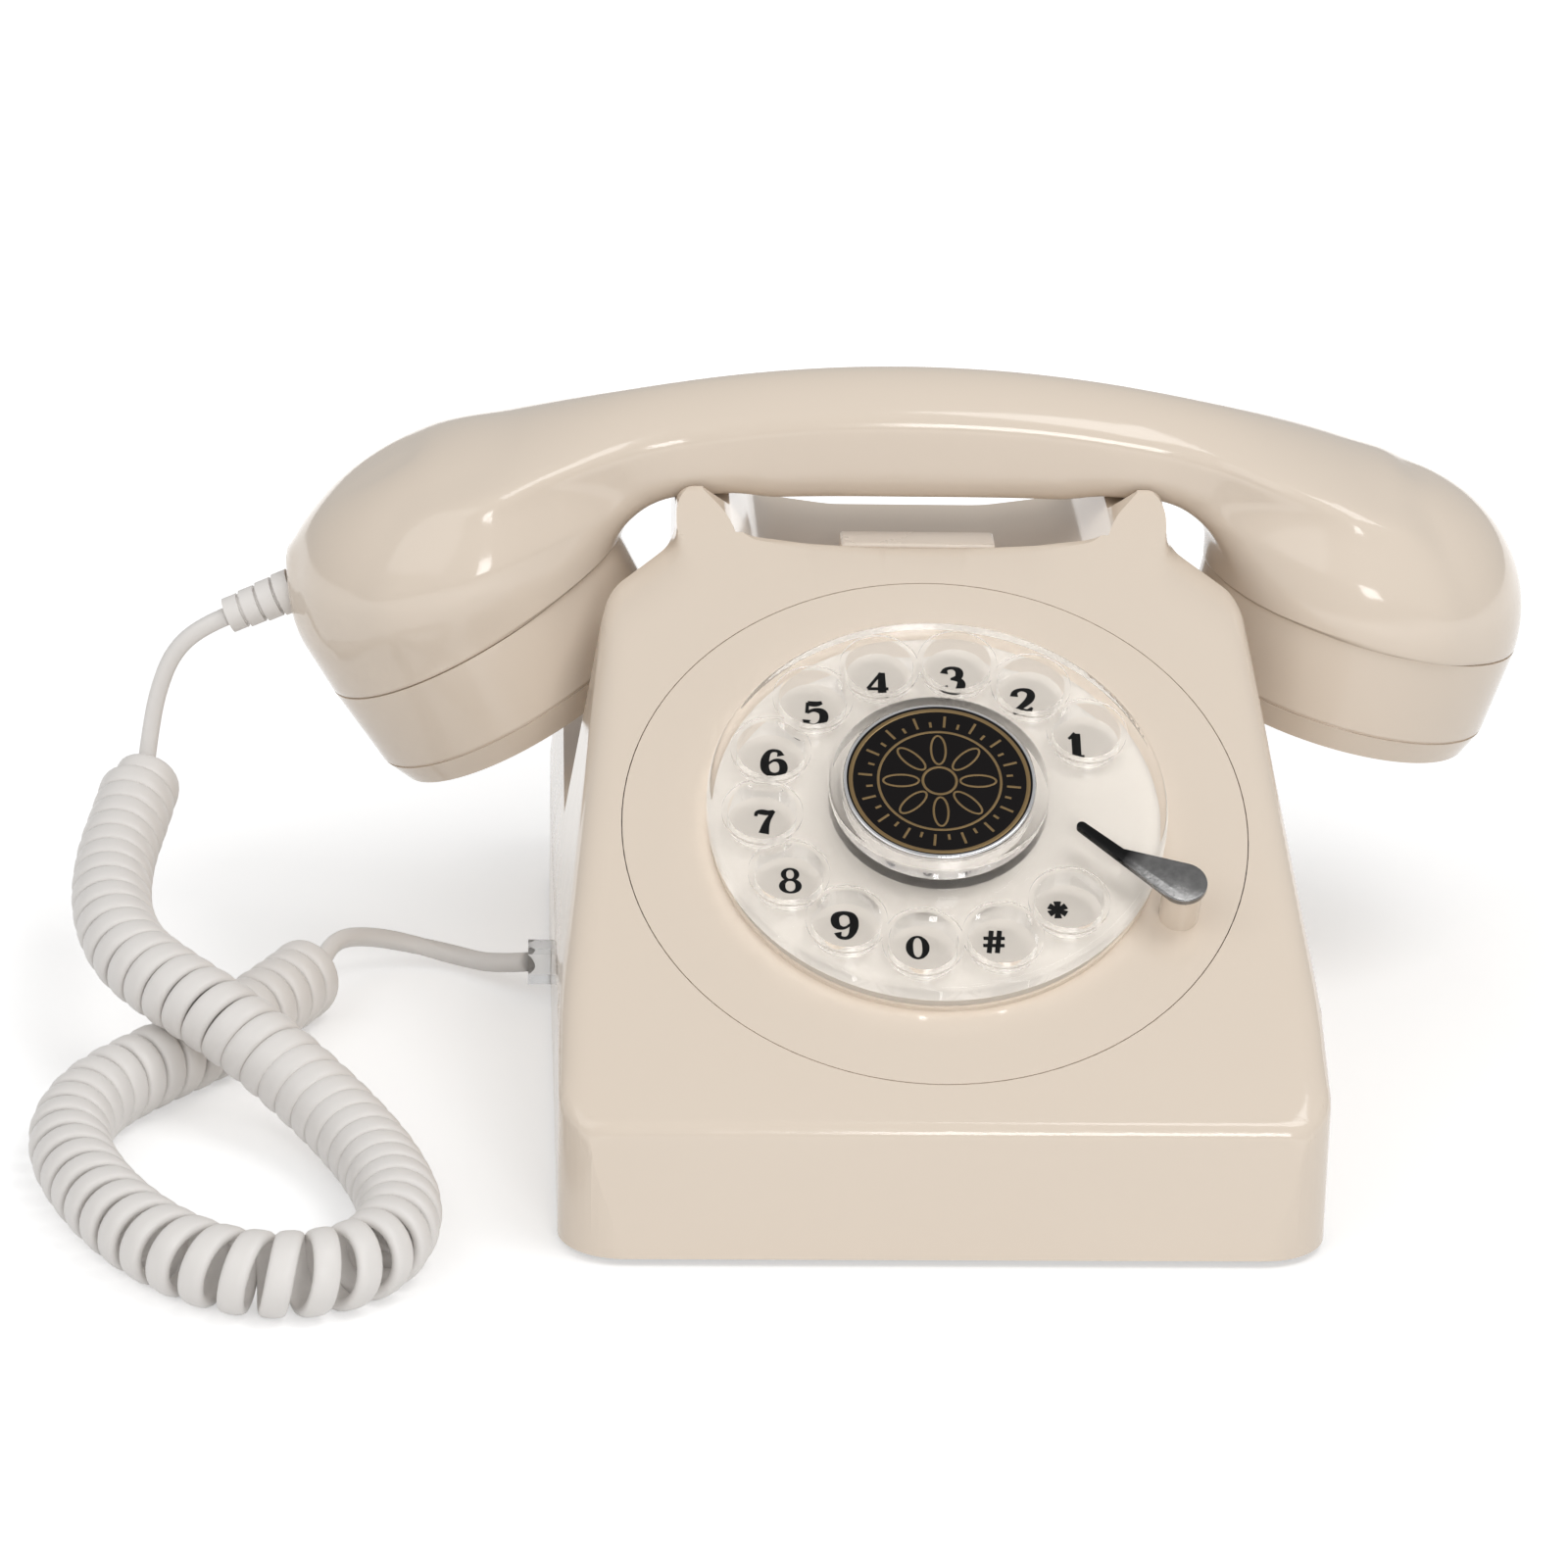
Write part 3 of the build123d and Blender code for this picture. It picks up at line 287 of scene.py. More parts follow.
# %% Materials
cream = finish("cream plastic", (0.78, 0.675, 0.565), (0.75, 0.645, 0.535), (0.08, 0.13),
               "case dial_surround handset_shell mouthpiece_cap earpiece_cap recall_button",
               bump=0.01)
cord_white = finish("cord plastic", (0.83, 0.80, 0.77), (0.79, 0.76, 0.73), (0.36, 0.46),
                    "cord_upper_lead cord_curl cord_lower_lead strain_relief")
finish("plate", (0.625, 0.575, 0.515), (0.605, 0.555, 0.495), (0.35, 0.45),
       "number_plate")
clear = finish("clear plastic", (1.0, 1.0, 1.0), (0.98, 0.985, 0.985), (0.01, 0.03),
               "finger_wheel", bump=0.0, transmission=1.0, ior=1.22)
finish("chrome", (0.80, 0.80, 0.81), (0.72, 0.72, 0.74), (0.06, 0.12),
       "centre_ring finger_stop", metallic=1.0)
stop_chrome = finish("finger stop chrome", (0.34, 0.335, 0.33), (0.16, 0.16, 0.16), (0.16, 0.3),
                     grain=500.0, bump=0.25, metallic=1.0)
finish("badge enamel", (0.006, 0.005, 0.005), (0.010, 0.008, 0.008), (0.35, 0.45),
       "centre_badge", bump=0.0, ior=1.18)
badge_gold = finish("badge gold line", (0.24, 0.16, 0.07), (0.18, 0.12, 0.05), (0.3, 0.4),
                    metallic=0.6)
ink = finish("printed ink", (0.006, 0.006, 0.006), (0.010, 0.010, 0.010), (0.5, 0.6), bump=0.0,
             ior=1.2)
steel = finish("plated steel", (0.55, 0.55, 0.55), (0.42, 0.42, 0.43), (0.25, 0.42),
               "base_plate base_screws dial_spindle wheel_screw dial_chassis dial_pillars "
               "dial_bridge return_spring governor lever_pivot_pin button_spring handset_weight "
               "gong_screws ringer_yoke clapper clapper_pin pulse_contact_leaves capacitors "
               "line_transformer", metallic=1.0)
finish("brass", (0.72, 0.52, 0.22), (0.55, 0.38, 0.15), (0.2, 0.38),
       "drive_gear governor_pinion ringer_gongs", metallic=1.0)
finish("rubber foot", (0.03, 0.03, 0.03), (0.05, 0.05, 0.05), (0.6, 0.8),
       "rubber_feet", bump=0.2)
finish("circuit board", (0.03, 0.17, 0.07), (0.04, 0.22, 0.09), (0.3, 0.45),
       "circuit_board switch_board")
finish("black part", (0.03, 0.03, 0.032), (0.05, 0.05, 0.05), (0.35, 0.5),
       "board_chips terminal_block cord_jack line_jack pulse_contact_block microphone_capsule "
       "receiver_capsule")
finish("winding", (0.45, 0.19, 0.07), (0.32, 0.12, 0.04), (0.25, 0.4),
       "ringer_coil", bump=0.3, metallic=0.5)
finish("inner plastic", (0.62, 0.60, 0.54), (0.58, 0.55, 0.5), (0.35, 0.5),
       "pulse_cam hook_plungers hook_lever board_hangers")
# The button's colour is its own slightly paler plastic, made lighter still with painted light that
# offsets the shade the handset casts on its top.
button_tone_and_painted_light = finish("button plastic and painted light", (0.90, 0.81, 0.71), (0.88, 0.79, 0.69), (0.2, 0.3),
                      bump=0.01)
plug_clear = finish("plug plastic", (0.9, 0.9, 0.9), (0.85, 0.86, 0.86), (0.05, 0.1),
                    "cord_plug", transmission=0.85)


def let_light_through(material, share=0.9):
    """Shadow rays pass a clear piece, tinted by share, so that what is under it stays bright."""
    tree = material.node_tree
    solid = tree.nodes["Principled BSDF"].outputs[0]
    passing = node(tree, "BsdfTransparent", (share, share, share, 1)).outputs[0]
    mix = node(tree, "MixShader", node(tree, "LightPath").outputs["Is Shadow Ray"], solid, passing)
    feed(tree, tree.nodes["Material Output"], mix.outputs[0])


let_light_through(clear)
let_light_through(plug_clear)
print("materials:", len(bpy.data.materials))

# %% [markdown]
# The handset's cord is a flat ribbon of soft plastic wound into a tight coil, with a straight lead
# at each end. Its route is drawn first as a smooth curve: down from the handset, over its own lower
# part, round a loop on the table and back to the plug in the side of the case. The coil is then a
# helix round that curve, closer together where it hangs and looser where it lies.

# %% Cord route
upper_lead = [(-134.6, 44.4, 71.9), (-140.28, 44.4, 69.4), (-145.8, 44.4, 64),
              (-148.9, 44.4, 55.5), (-150.4, 43.9, 47)]
curl = [(-151.3, 41.5, 39.8), (-153.4, 29.5, 35.4), (-155.8, 14, 31.6), (-155.4, -3.5, 28.4),
        (-151.2, -17.6, 25.8), (-143.4, -28.2, 24.2), (-134.6, -36.2, 22), (-125.8, -42.6, 18.2),
        (-117, -50.2, 13.6), (-108.2, -61.4, 9.8), (-101, -77, 8.1), (-96.9, -96, 8),
        (-101.2, -112.6, 7.9), (-112.4, -120.6, 8), (-127.2, -119.4, 7.9), (-141, -108.2, 8),
        (-152.8, -88, 7.9), (-160.2, -65, 8), (-156.8, -45.6, 7.9), (-147, -31.4, 8),
        (-136, -18.4, 7.9), (-126, -2, 8), (-116.4, 17.6, 7.9)]
lower_lead = [(-113.6, 27.4, 10.2), (-106.8, 34.8, 7.8), (-97.4, 37.8, 4.6), (-88.4, 34.6, 3.4),
              (-82.2, 27.8, 4.8), (-75.2, 21.4, 8)]
route_steps = 24


def smooth_line(points):
    """Points along the NURBS curve of these control points, in metres."""
    data = bpy.data.curves.new("route", "CURVE")
    data.dimensions = "3D"
    spline = data.splines.new("NURBS")
    spline.points.add(len(points) - 1)
    flat = np.c_[np.asarray(points) * MM, np.ones(len(points))]
    spline.points.foreach_set("co", flat.ravel())
    spline.order_u = 3
    spline.use_endpoint_u = True
    spline.resolution_u = route_steps
    obj = linked("route", data)
    bpy.context.view_layer.update()
    mesh = bpy.data.meshes.new_from_object(obj)
    line = mesh_points(mesh)
    bpy.data.objects.remove(obj)
    bpy.data.meshes.remove(mesh)
    return line


def run_lengths(line):
    """Distance along a line of points from its start to each of them."""
    return np.concatenate([[0], np.cumsum(np.linalg.norm(np.diff(line, axis=0), axis=1))])


def resampled(line, at):
    """Points of the line at these distances from its start."""
    s = run_lengths(line)
    return np.stack([np.interp(at, s, line[:, i]) for i in range(3)], -1)


route = smooth_line(upper_lead + curl + lower_lead)
route_s = run_lengths(route)


def nearest_s(point):
    """Distance along the route to its point nearest to this one, in metres."""
    return route_s[np.argmin(np.linalg.norm(route - np.asarray(point) * MM, axis=1))]


coil_start = nearest_s(curl[0])
coil_end = nearest_s(curl[-1])
print("route", round(route_s[-1], 4), "m, coil from", round(coil_start, 4), "to",
      round(coil_end, 4))

# %% Cord helix
coil_radius = 6.5 * MM
ribbon_width = 5.0 * MM
ribbon_height = 2.5 * MM
lead_diameter = 3.5 * MM
turn_pitches = [(0.0, 5.0), (0.20, 5.1), (0.42, 5.5), (0.50, 6.2), (0.66, 6.6), (0.80, 6.0),
                (0.90, 5.6), (1.0, 5.2)]
points_per_turn = 30
pitch_steps = 4000
look_ahead = 0.5 * MM
swell_turns = 0.9
ring_sides, ring_flatness = 14, 0.72
first_lead_rows, last_lead_rows = 30, 40


def smooth_step(t):
    """0 below 0, 1 above 1 and 3 t^2 - 2 t^3 between them, so it leaves and arrives level."""
    t = np.clip(t, 0, 1)
    return t * t * (3 - 2 * t)


def coil_line(start, end):
    """Centreline of the ribbon: route + r * (cos(t) * side + sin(t) * over). The angle t grows by a
    whole turn for each pitch of route, the radius swells over the first and last turn, and side and
    over are carried along the route without twist."""
    length = end - start
    fine = np.linspace(0, 1, pitch_steps)
    pitch = np.interp(fine[:-1], *np.array(turn_pitches).T) * MM
    turns = np.concatenate([[0], np.cumsum(length * np.diff(fine) / pitch)])
    count = turns[-1]
    angle = np.linspace(0, count, int(count * points_per_turn) + 1)
    s = start + length * np.interp(angle, turns, fine)
    middle = resampled(route, s)
    after = resampled(route, np.minimum(s + look_ahead, route_s[-1]))
    ahead = unit(after - resampled(route, s - look_ahead))
    over = np.zeros_like(ahead)
    over[0] = unit(np.array([0, 1.0, 0]) - ahead[0] * ahead[0][1])
    for i in range(1, len(ahead)):
        over[i] = unit(over[i - 1] - ahead[i] * np.dot(over[i - 1], ahead[i]))
    side = np.cross(ahead, over)
    swell = smooth_step(np.minimum(angle, count - angle) / swell_turns)
    turn = 2 * np.pi * angle
    out = np.cos(turn)[:, None] * side + np.sin(turn)[:, None] * over
    return middle + coil_radius * swell[:, None] * out, out, swell, count


coil, coil_out, coil_swell, turn_count = coil_line(coil_start, coil_end)


def cord_shape():
    """The whole cord as one line with its width, its height and the direction its flat side faces:
    first lead, coil, second lead."""
    first = resampled(route, np.linspace(0, coil_start, first_lead_rows))[:-1]
    last = resampled(route, np.linspace(coil_end, route_s[-1], last_lead_rows))[1:]
    line = np.concatenate([first, coil, last])
    leads = (len(first), len(last))
    facing = np.pad(coil_out, (leads, (0, 0)), "edge")
    flat = np.pad(coil_swell, leads)
    widths = lead_diameter + (ribbon_width - lead_diameter) * flat
    heights = lead_diameter + (ribbon_height - lead_diameter) * flat
    return line, widths, heights, facing


cord_line, *cord_section = cord_shape()
cord_rings = tube_points(cord_line, *cord_section, ring_sides, ring_flatness)
curly_cord = closed_tube("curly_cord", cord_rings, cord_white)
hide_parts("cord_upper_lead", "cord_curl", "cord_lower_lead")
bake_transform(curly_cord)

# %% [markdown]
# The handset is one moulding: an arched grip with a flat front and a shallow roof, which swells
# into a round bell at each end. No simple solid has that soft neck, so its skin is found by rays:
# a formula says how far any point is from the skin, and rays from a spine inside look for zero.
# Between the bells the rays lie in upright planes. Over each bell the planes turn about a line in
# the notch under the neck, down to the seam of the cap, so the last ring is the seam's circle.

# %% Handset skin
handset_y = 44.4
bell_radius = 32.2
seam_middle = {"mouth": np.array([-86.6, 74.8]), "ear": np.array([88.8, 77.6])}
seam_tilt = {"mouth": math.radians(30.9), "ear": math.radians(-14.9)}
bell_height = {"mouth": 34.0, "ear": 28.0}
bell_rounding = {"mouth": 23.0, "ear": 27.0}
bell_cone = 0.03
grip_flare = np.array([(-98, 18, 12), (-84, 13, 15), (-70, 10.5, 8.5), (-57, 4.6, 2.4),
                       (-48, 1.7, 0.4), (-38, 0.9, 0), (0, 0, 0), (38, 0.9, 0), (48, 1.7, 0.4),
                       (57, 5.2, 2.4), (70, 12.5, 8.5), (84, 16.5, 13), (97, 21, 12)], float)
grip_half = 12.7
grip_low = 101.7
grip_start, grip_end = -98, 97
roof_top, roof_middle, roof_bend = 124.0, -3, 526
roof_drop = 6.8
roof_lean = 0.93
roof_edge, grip_edge = 2.0, 6.0
sag_depth, sag_until, sag_fade = 1.2, 37, 10
horn_start, horn_end = np.array([-102.0, 86.24]), np.array([-118.2, 79.1])
horn_radius, horn_taper, horn_edge, horn_neck = 10.5, 4.6, 1.2, 7.0
neck_least, neck_more, neck_from, neck_over = 3.0, 11.0, 3, 16
spine_below, spine_height, spine_half = 3.0, 112.5, 50
fan_rows, middle_rows, ring_columns = 110, 70, 112
fan_reach, ray_reach, halvings = 40.0, 70.0, 22
seam_steps = [(1.0, 0.55), (0.994, 0.22), (0.978, 0.05)]


def smooth_through(x, knots, values):
    """Smooth curve through the values at the knots: cubic pieces whose slopes agree where they
    meet, and level outside."""
    slopes = np.gradient(values, knots)
    i = np.clip(np.searchsorted(knots, x) - 1, 0, len(knots) - 2)
    wide = knots[i + 1] - knots[i]
    t = np.clip((x - knots[i]) / wide, 0, 1)
    return (values[i] * (1 + 2 * t) * (1 - t) ** 2 + slopes[i] * wide * t * (1 - t) ** 2
            + values[i + 1] * t * t * (3 - 2 * t) - slopes[i + 1] * wide * t * t * (1 - t))


def smooth_least(a, b, k):
    """Least of two distances, rounded over a width k: min(a, b) - max(k - |a - b|, 0)^2 / (4 k)."""
    h = np.maximum(k - np.abs(a - b), 0)
    return np.minimum(a, b) - h * h / (4 * k)


def smooth_most(a, b, k):
    """Greatest of two distances, rounded over a width k."""
    return -smooth_least(-a, -b, k)


def bell_axes(end):
    """The seam's own direction in the X-Z plane and the direction up through the bell."""
    c, s = math.cos(seam_tilt[end]), math.sin(seam_tilt[end])
    return np.array([c, s]), np.array([-s, c])


def bell_distance(end, x, y, z):
    """Distance from a bell: a cylinder whose top edge is rounded, with a very low cone."""
    across, up = bell_axes(end)
    dx, dz = x - seam_middle[end][0], z - seam_middle[end][1]
    r = np.hypot(dx * across[0] + dz * across[1], y)
    h = dx * up[0] + dz * up[1] + bell_cone * r
    rounding = bell_rounding[end]
    a, b = r - (bell_radius - rounding), h - (bell_height[end] - rounding)
    outside = np.hypot(np.maximum(a, 0), np.maximum(b, 0))
    return outside + np.minimum(np.maximum(a, b), 0) - rounding


def roof_height(x):
    """Height of the grip's ridge along the handset."""
    return roof_top - (x - roof_middle) ** 2 / roof_bend


def grip_distance(x, y, z):
    """Distance from the grip: between two sides, over an underside and under a roof that falls by
    roof_drop from the middle to the sides, with rounded edges."""
    drop, widening = (smooth_through(x, grip_flare[:, 0], grip_flare[:, i]) for i in (1, 2))
    half = grip_half + widening
    side = np.abs(y) - half
    roof = (z - roof_height(x) + roof_drop * (y / half) ** 2) * roof_lean
    body = smooth_most(side, roof, roof_edge)
    sag = sag_depth * smooth_step((sag_until - np.abs(x)) / sag_fade)
    for more in (grip_low - drop - sag - z, grip_start - x, x - grip_end):
        body = smooth_most(body, more, grip_edge)
    return body


def socket_distance(x, y, z):
    """Distance from the tapered horn at the mouthpiece end that the cord's sleeve sits in."""
    length = np.linalg.norm(horn_end - horn_start)
    along = unit(horn_end - horn_start)
    dx, dz = x - horn_start[0], z - horn_start[1]
    t = dx * along[0] + dz * along[1]
    side = np.hypot(dx * along[1] - dz * along[0], y)
    cone = side - (horn_radius - horn_taper * np.clip(t / length, 0, 1))
    return smooth_most(smooth_most(cone, t - length, horn_edge), -t, horn_edge)


def handset_distance(x, y, z):
    """Distance from the whole skin, whose pieces flow together more widely under the neck."""
    k = neck_least + neck_more * np.clip((roof_height(x) - z - neck_from) / neck_over, 0, 1)
    body = grip_distance(x, y, z)
    for end in ("mouth", "ear"):
        body = smooth_least(body, bell_distance(end, x, y, z), k)
    return smooth_least(body, socket_distance(x, y, z), horn_neck)


def spine_frames():
    """Start points and plane directions of the ray fans, from the mouthpiece's seam to the
    earpiece's. Each plane holds the Y direction and a direction (cos p, sin p) in X-Z."""
    ends = {}
    for end, sign, whole in (("mouth", -1, 2 * np.pi), ("ear", 1, 0)):
        outwards = sign * bell_axes(end)[0]
        pivot = seam_middle[end] - outwards * fan_reach
        seam_turn = math.atan2(outwards[1], outwards[0]) + whole
        share = np.linspace(0, 1, fan_rows)
        turn = np.pi / 2 + (seam_turn - np.pi / 2) * share
        first = (grip_low - spine_below + roof_height(pivot[0])) / 2 - pivot[1]
        reach = first + (fan_reach - first) * smooth_step(share)
        place = pivot + reach[:, None] * np.c_[np.cos(turn), np.sin(turn)]
        ends[end] = (place, turn, pivot)
    (mouth_place, mouth_turn, mouth_pivot), (ear_place, ear_turn, ear_pivot) = ends.values()
    x = np.linspace(mouth_pivot[0], ear_pivot[0], middle_rows)[1:-1]
    height = np.interp(x, [x[0], x[-1]], [mouth_place[0][1], ear_place[0][1]])
    height = height + (spine_height - height) * np.clip(1 - (np.abs(x) / spine_half) ** 2, 0, 1)
    starts = np.concatenate([mouth_place[::-1], np.c_[x, height], ear_place])
    return starts, np.concatenate([mouth_turn[::-1], np.full(len(x), np.pi / 2), ear_turn])


def handset_rings():
    """Rings of points on the skin: each ray's first crossing is bracketed in steps and halved."""
    starts, turns = spine_frames()
    angle = circle(ring_columns)
    over = np.sin(angle)[None]
    ray = np.stack([over * np.cos(turns)[:, None],
                    np.broadcast_to(np.cos(angle), (len(turns), ring_columns)),
                    over * np.sin(turns)[:, None]], -1)
    start = np.stack([starts[:, 0], np.zeros(len(starts)), starts[:, 1]], -1)[:, None, :]

    def outside(reach):
        return handset_distance(*np.moveaxis(start + ray * reach, -1, 0)) > 0

    near = np.zeros(ray.shape[:2])
    far = np.full(ray.shape[:2], ray_reach)
    found = np.zeros(ray.shape[:2], bool)
    for step in np.arange(1.0, ray_reach, 1.0):
        out = outside(step)
        far = np.where(out & ~found, step, far)
        near = np.where(~found & ~out, step, near)
        found |= out
    for _ in range(halvings):
        middle = (near + far) / 2
        out = outside(middle[..., None])
        far, near = np.where(out, middle, far), np.where(out, near, middle)
    skin = start + ray * ((near + far) / 2)[..., None]
    skin[..., 1] += handset_y
    return skin


def seam_edge(ring, end):
    """Three rings down to a seam circle: the skin's own, a small rounded edge, a step inwards."""
    _, up = bell_axes(end)
    up = np.array([up[0], 0, up[1]])
    middle = np.array([seam_middle[end][0], handset_y, seam_middle[end][1]])
    return np.stack([middle + (ring - middle) * share + up * rise for share, rise in seam_steps])


skin = handset_rings()
rings = np.concatenate([seam_edge(skin[0], "mouth")[::-1], skin[1:-1],
                        seam_edge(skin[-1], "ear")]) * MM
handset_body = closed_tube("handset_body", rings, cream)
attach(handset_body, "handset")
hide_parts("handset_shell")
print("handset skin:", rings.shape, "box", (rings.min((0, 1)) / MM).round(1),
      (rings.max((0, 1)) / MM).round(1))

# %% [markdown]
# The case's long outer edges are soft, while the solid model has them sharp. Its skin is a copy of
# that mesh. Near the soft edges its triangles are split until they are small, and their corners
# move onto a rounded surface: the distance from the side profile and the distance from the outline
# seen from the front and above are joined with a rounded greatest-of-two. The rounding fades out
# on the skirt, whose corners are already round in plan, and at the tips of the horns.

# %% Case outlines
case_side = [(-102.5, -30), (-98, 26.4), (29.61, 104.29), (66, 104.29), (87, 52), (98, 30),
             (102.2, -30)]
case_side_rounding = [0, 4, 2.2, 5, 16, 6, 0]
case_front = [(73.1, -30), (71, 30), (61, 88.4), (47.3, 95.4), (47.3, 130)]
case_front_rounding = [0, 8, 7, 5, 0]
case_plan = [(-69.5, -100), (69.5, -100), (71, 50), (71, 100), (-71, 100), (-71, 50)]
case_plan_rounding = [12, 12, 60, 20, 20, 60]
edge_softness, least_softness = 6.0, 0.01
soft_from, soft_full = 20.0, 34.0
soft_until, soft_end = 93.0, 100.0
plan_softness = 1.0
triangle_side = 1.5
zone_margin, zone_least = 0.6, 0.05
moving_steps, probe, least_steepness = 4, 0.01, 0.2
sharp_angle = math.radians(32)
same_place = 2e-6


def rounded_outline(points, rounding, steps=9):
    """Closed outline with each corner replaced by an arc of its radius that touches both sides."""
    points = np.asarray(points, float)
    outline = []
    neighbours = zip(np.roll(points, 1, 0), points, np.roll(points, -1, 0), rounding)
    for before, corner, following, radius in neighbours:
        if not radius:
            outline.append(corner[None])
            continue
        u, v = unit(before - corner), unit(following - corner)
        half = math.acos(np.clip(u @ v, -1, 1)) / 2
        centre = corner + unit(u + v) * radius / math.sin(half)
        start, end = (corner + w * radius / math.tan(half) - centre for w in (u, v))
        sweep = math.atan2(start[0] * end[1] - start[1] * end[0], start @ end)
        turn = np.linspace(0, sweep, steps)
        c, s = np.cos(turn), np.sin(turn)
        outline.append(centre + np.c_[start[0] * c - start[1] * s, start[0] * s + start[1] * c])
    return np.concatenate(outline)


def outline_distance(outline, points):
    """Distance from a closed outline, negative inside: nearest point on each side of it, with the
    sign from how often a ray crosses it."""
    nearest = np.full(len(points), np.inf)
    inside = np.zeros(len(points), bool)
    for a, b in zip(outline, np.roll(outline, -1, 0)):
        side = b - a
        if side @ side < 1e-12:
            continue
        share = np.clip(((points - a) @ side) / (side @ side), 0, 1)
        nearest = np.minimum(nearest, np.sum((points - a - share[:, None] * side) ** 2, 1))
        if a[1] != b[1]:
            crosses = (a[1] > points[:, 1]) != (b[1] > points[:, 1])
            inside ^= crosses & (points[:, 0] < a[0] + (points[:, 1] - a[1]) * side[0] / side[1])
    return np.where(inside, -1, 1) * np.sqrt(nearest)


side_line = rounded_outline(case_side, case_side_rounding)
front_half = rounded_outline(case_front + [(-40, 130), (-40, -30)], case_front_rounding + [0, 0])
plan_line = rounded_outline(case_plan, case_plan_rounding)


def case_distances(points):
    """Distance from the side profile, and from the front outline or the plan, whichever is more."""
    x, y, z = points.T
    from_side = outline_distance(side_line, np.c_[y, z])
    from_front = outline_distance(front_half, np.c_[np.abs(x), z])
    from_plan = outline_distance(plan_line, np.c_[x, y])
    return from_side, smooth_most(from_front, from_plan, plan_softness)


def softness(z):
    """Width of the rounding at a height: none on the skirt or at the tips, all on the face."""
    low = smooth_step((z - soft_from) / (soft_full - soft_from))
    high = smooth_step((soft_end - z) / (soft_end - soft_until))
    return np.maximum(edge_softness * low * high, least_softness)


def soft_distance(points):
    """Distance from the rounded case."""
    return smooth_most(*case_distances(points), softness(points[:, 2]))


# %% Case skin


def split_near(points, faces, zone, longest, passes=9):
    """Split every triangle side that is longer than longest and has an end or its middle in the
    zone. A triangle with one, two or three such sides becomes two, three or four triangles."""
    close = zone(points)
    for _ in range(passes):
        sides = np.sort(np.stack([faces, np.roll(faces, -1, 1)], -1).reshape(-1, 2), 1)
        unique, back = np.unique(sides, axis=0, return_inverse=True)
        back = back.reshape(-1, 3)
        ends = points[unique]
        middle = ends.mean(1)
        long = np.linalg.norm(ends[:, 0] - ends[:, 1], axis=1) > longest
        close_middle = np.zeros(len(unique), bool)
        close_middle[long] = zone(middle[long])
        todo = long & (close[unique].any(1) | close_middle)
        if not todo.any():
            break
        fresh = np.full(len(unique), -1)
        fresh[todo] = len(points) + np.arange(todo.sum())
        points = np.concatenate([points, middle[todo]])
        close = np.concatenate([close, close_middle[todo]])
        cut = fresh[back]
        count = (cut >= 0).sum(1)
        turn = np.where(count == 1, np.argmax(cut >= 0, 1),
                        np.where(count == 2, (np.argmax(cut < 0, 1) + 1) % 3, 0))
        order = (turn[:, None] + np.arange(3)) % 3
        corner = np.take_along_axis(faces, order, 1)
        cut = np.take_along_axis(cut, order, 1)
        a, b, c = corner.T
        p, q, r = cut.T
        one, two, three = count == 1, count == 2, count == 3
        parts = [corner[count == 0], np.c_[a, p, c][one], np.c_[p, b, c][one],
                 np.c_[p, b, q][two], np.c_[a, p, q][two], np.c_[a, q, c][two],
                 np.c_[a, p, r][three], np.c_[p, b, q][three], np.c_[r, q, c][three],
                 np.c_[p, q, r][three]]
        faces = np.concatenate(parts)
    return points, faces


def clean_shape(source):
    """A bmesh of a node's mesh with its doubled corners joined."""
    shape = bmesh.new()
    shape.from_mesh(source.data)
    bmesh.ops.remove_doubles(shape, verts=shape.verts, dist=same_place)
    return shape


def mesh_from(shape, name):
    """A new mesh from a bmesh, which is freed."""
    mesh = bpy.data.meshes.new(name)
    shape.to_mesh(mesh)
    shape.free()
    return mesh


def joined_mesh(source):
    """Corners in millimetres and triangles of a node's mesh, with its doubled corners joined."""
    shape = clean_shape(source)
    bmesh.ops.triangulate(shape, faces=shape.faces)
    mesh = mesh_from(shape, "joined")
    points = mesh_points(mesh) / MM
    corners = np.zeros(len(mesh.loops), np.int32)
    mesh.loops.foreach_get("vertex_index", corners)
    bpy.data.meshes.remove(mesh)
    return points, corners.reshape(-1, 3)


def near_soft_edge(points):
    """Whether points lie on the outside of the case within the rounding of a soft edge."""
    a, b = case_distances(points)
    k = softness(points[:, 2])
    outside = np.maximum(a, b) > -zone_least
    return (np.abs(a - b) < k + zone_margin) & outside & (k > zone_least)


def rounded_case(source):
    """The case's mesh with the corners near its soft edges moved onto the rounded surface, in a
    few steps along the gradient."""
    points, faces = joined_mesh(source)
    points, faces = split_near(points, faces, near_soft_edge, triangle_side)
    moving = np.flatnonzero(near_soft_edge(points))
    place = points[moving]
    for _ in range(moving_steps):
        value = soft_distance(place)
        gradient = np.stack([(soft_distance(place + d) - soft_distance(place - d)) / (2 * probe)
                             for d in np.eye(3) * probe], -1)
        steepness = np.maximum(np.sum(gradient ** 2, 1), least_steepness)
        place = place - (value / steepness)[:, None] * gradient
    moved = np.linalg.norm(place - points[moving], axis=1).max()
    print("case:", len(faces), "triangles,", len(moving), "corners near soft edges, moved up to",
          moved.round(2), "mm")
    points[moving] = place
    return points, faces


case_points, case_faces = rounded_case(nodes["case"])
case_body = mesh_object("case_body", case_points * MM, case_faces.tolist(), cream)
case_body.data.set_sharp_from_angle(angle=sharp_angle)
even = case_body.modifiers.new("even normals", "WEIGHTED_NORMAL")
even.keep_sharp = True
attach(case_body, "base")
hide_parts("case")

# %% [markdown]
# The dial's plate carries plain printed figures, and the badge a plain pattern of gold lines. Both
# are drawn with strokes: a few corner points, each with a width, are smoothed by cutting corners,
# and a low closed band follows them. They are drawn flat round the dial's centre and then placed on
# the sloping face, so x runs to the right, y up the slope and z out of the face.

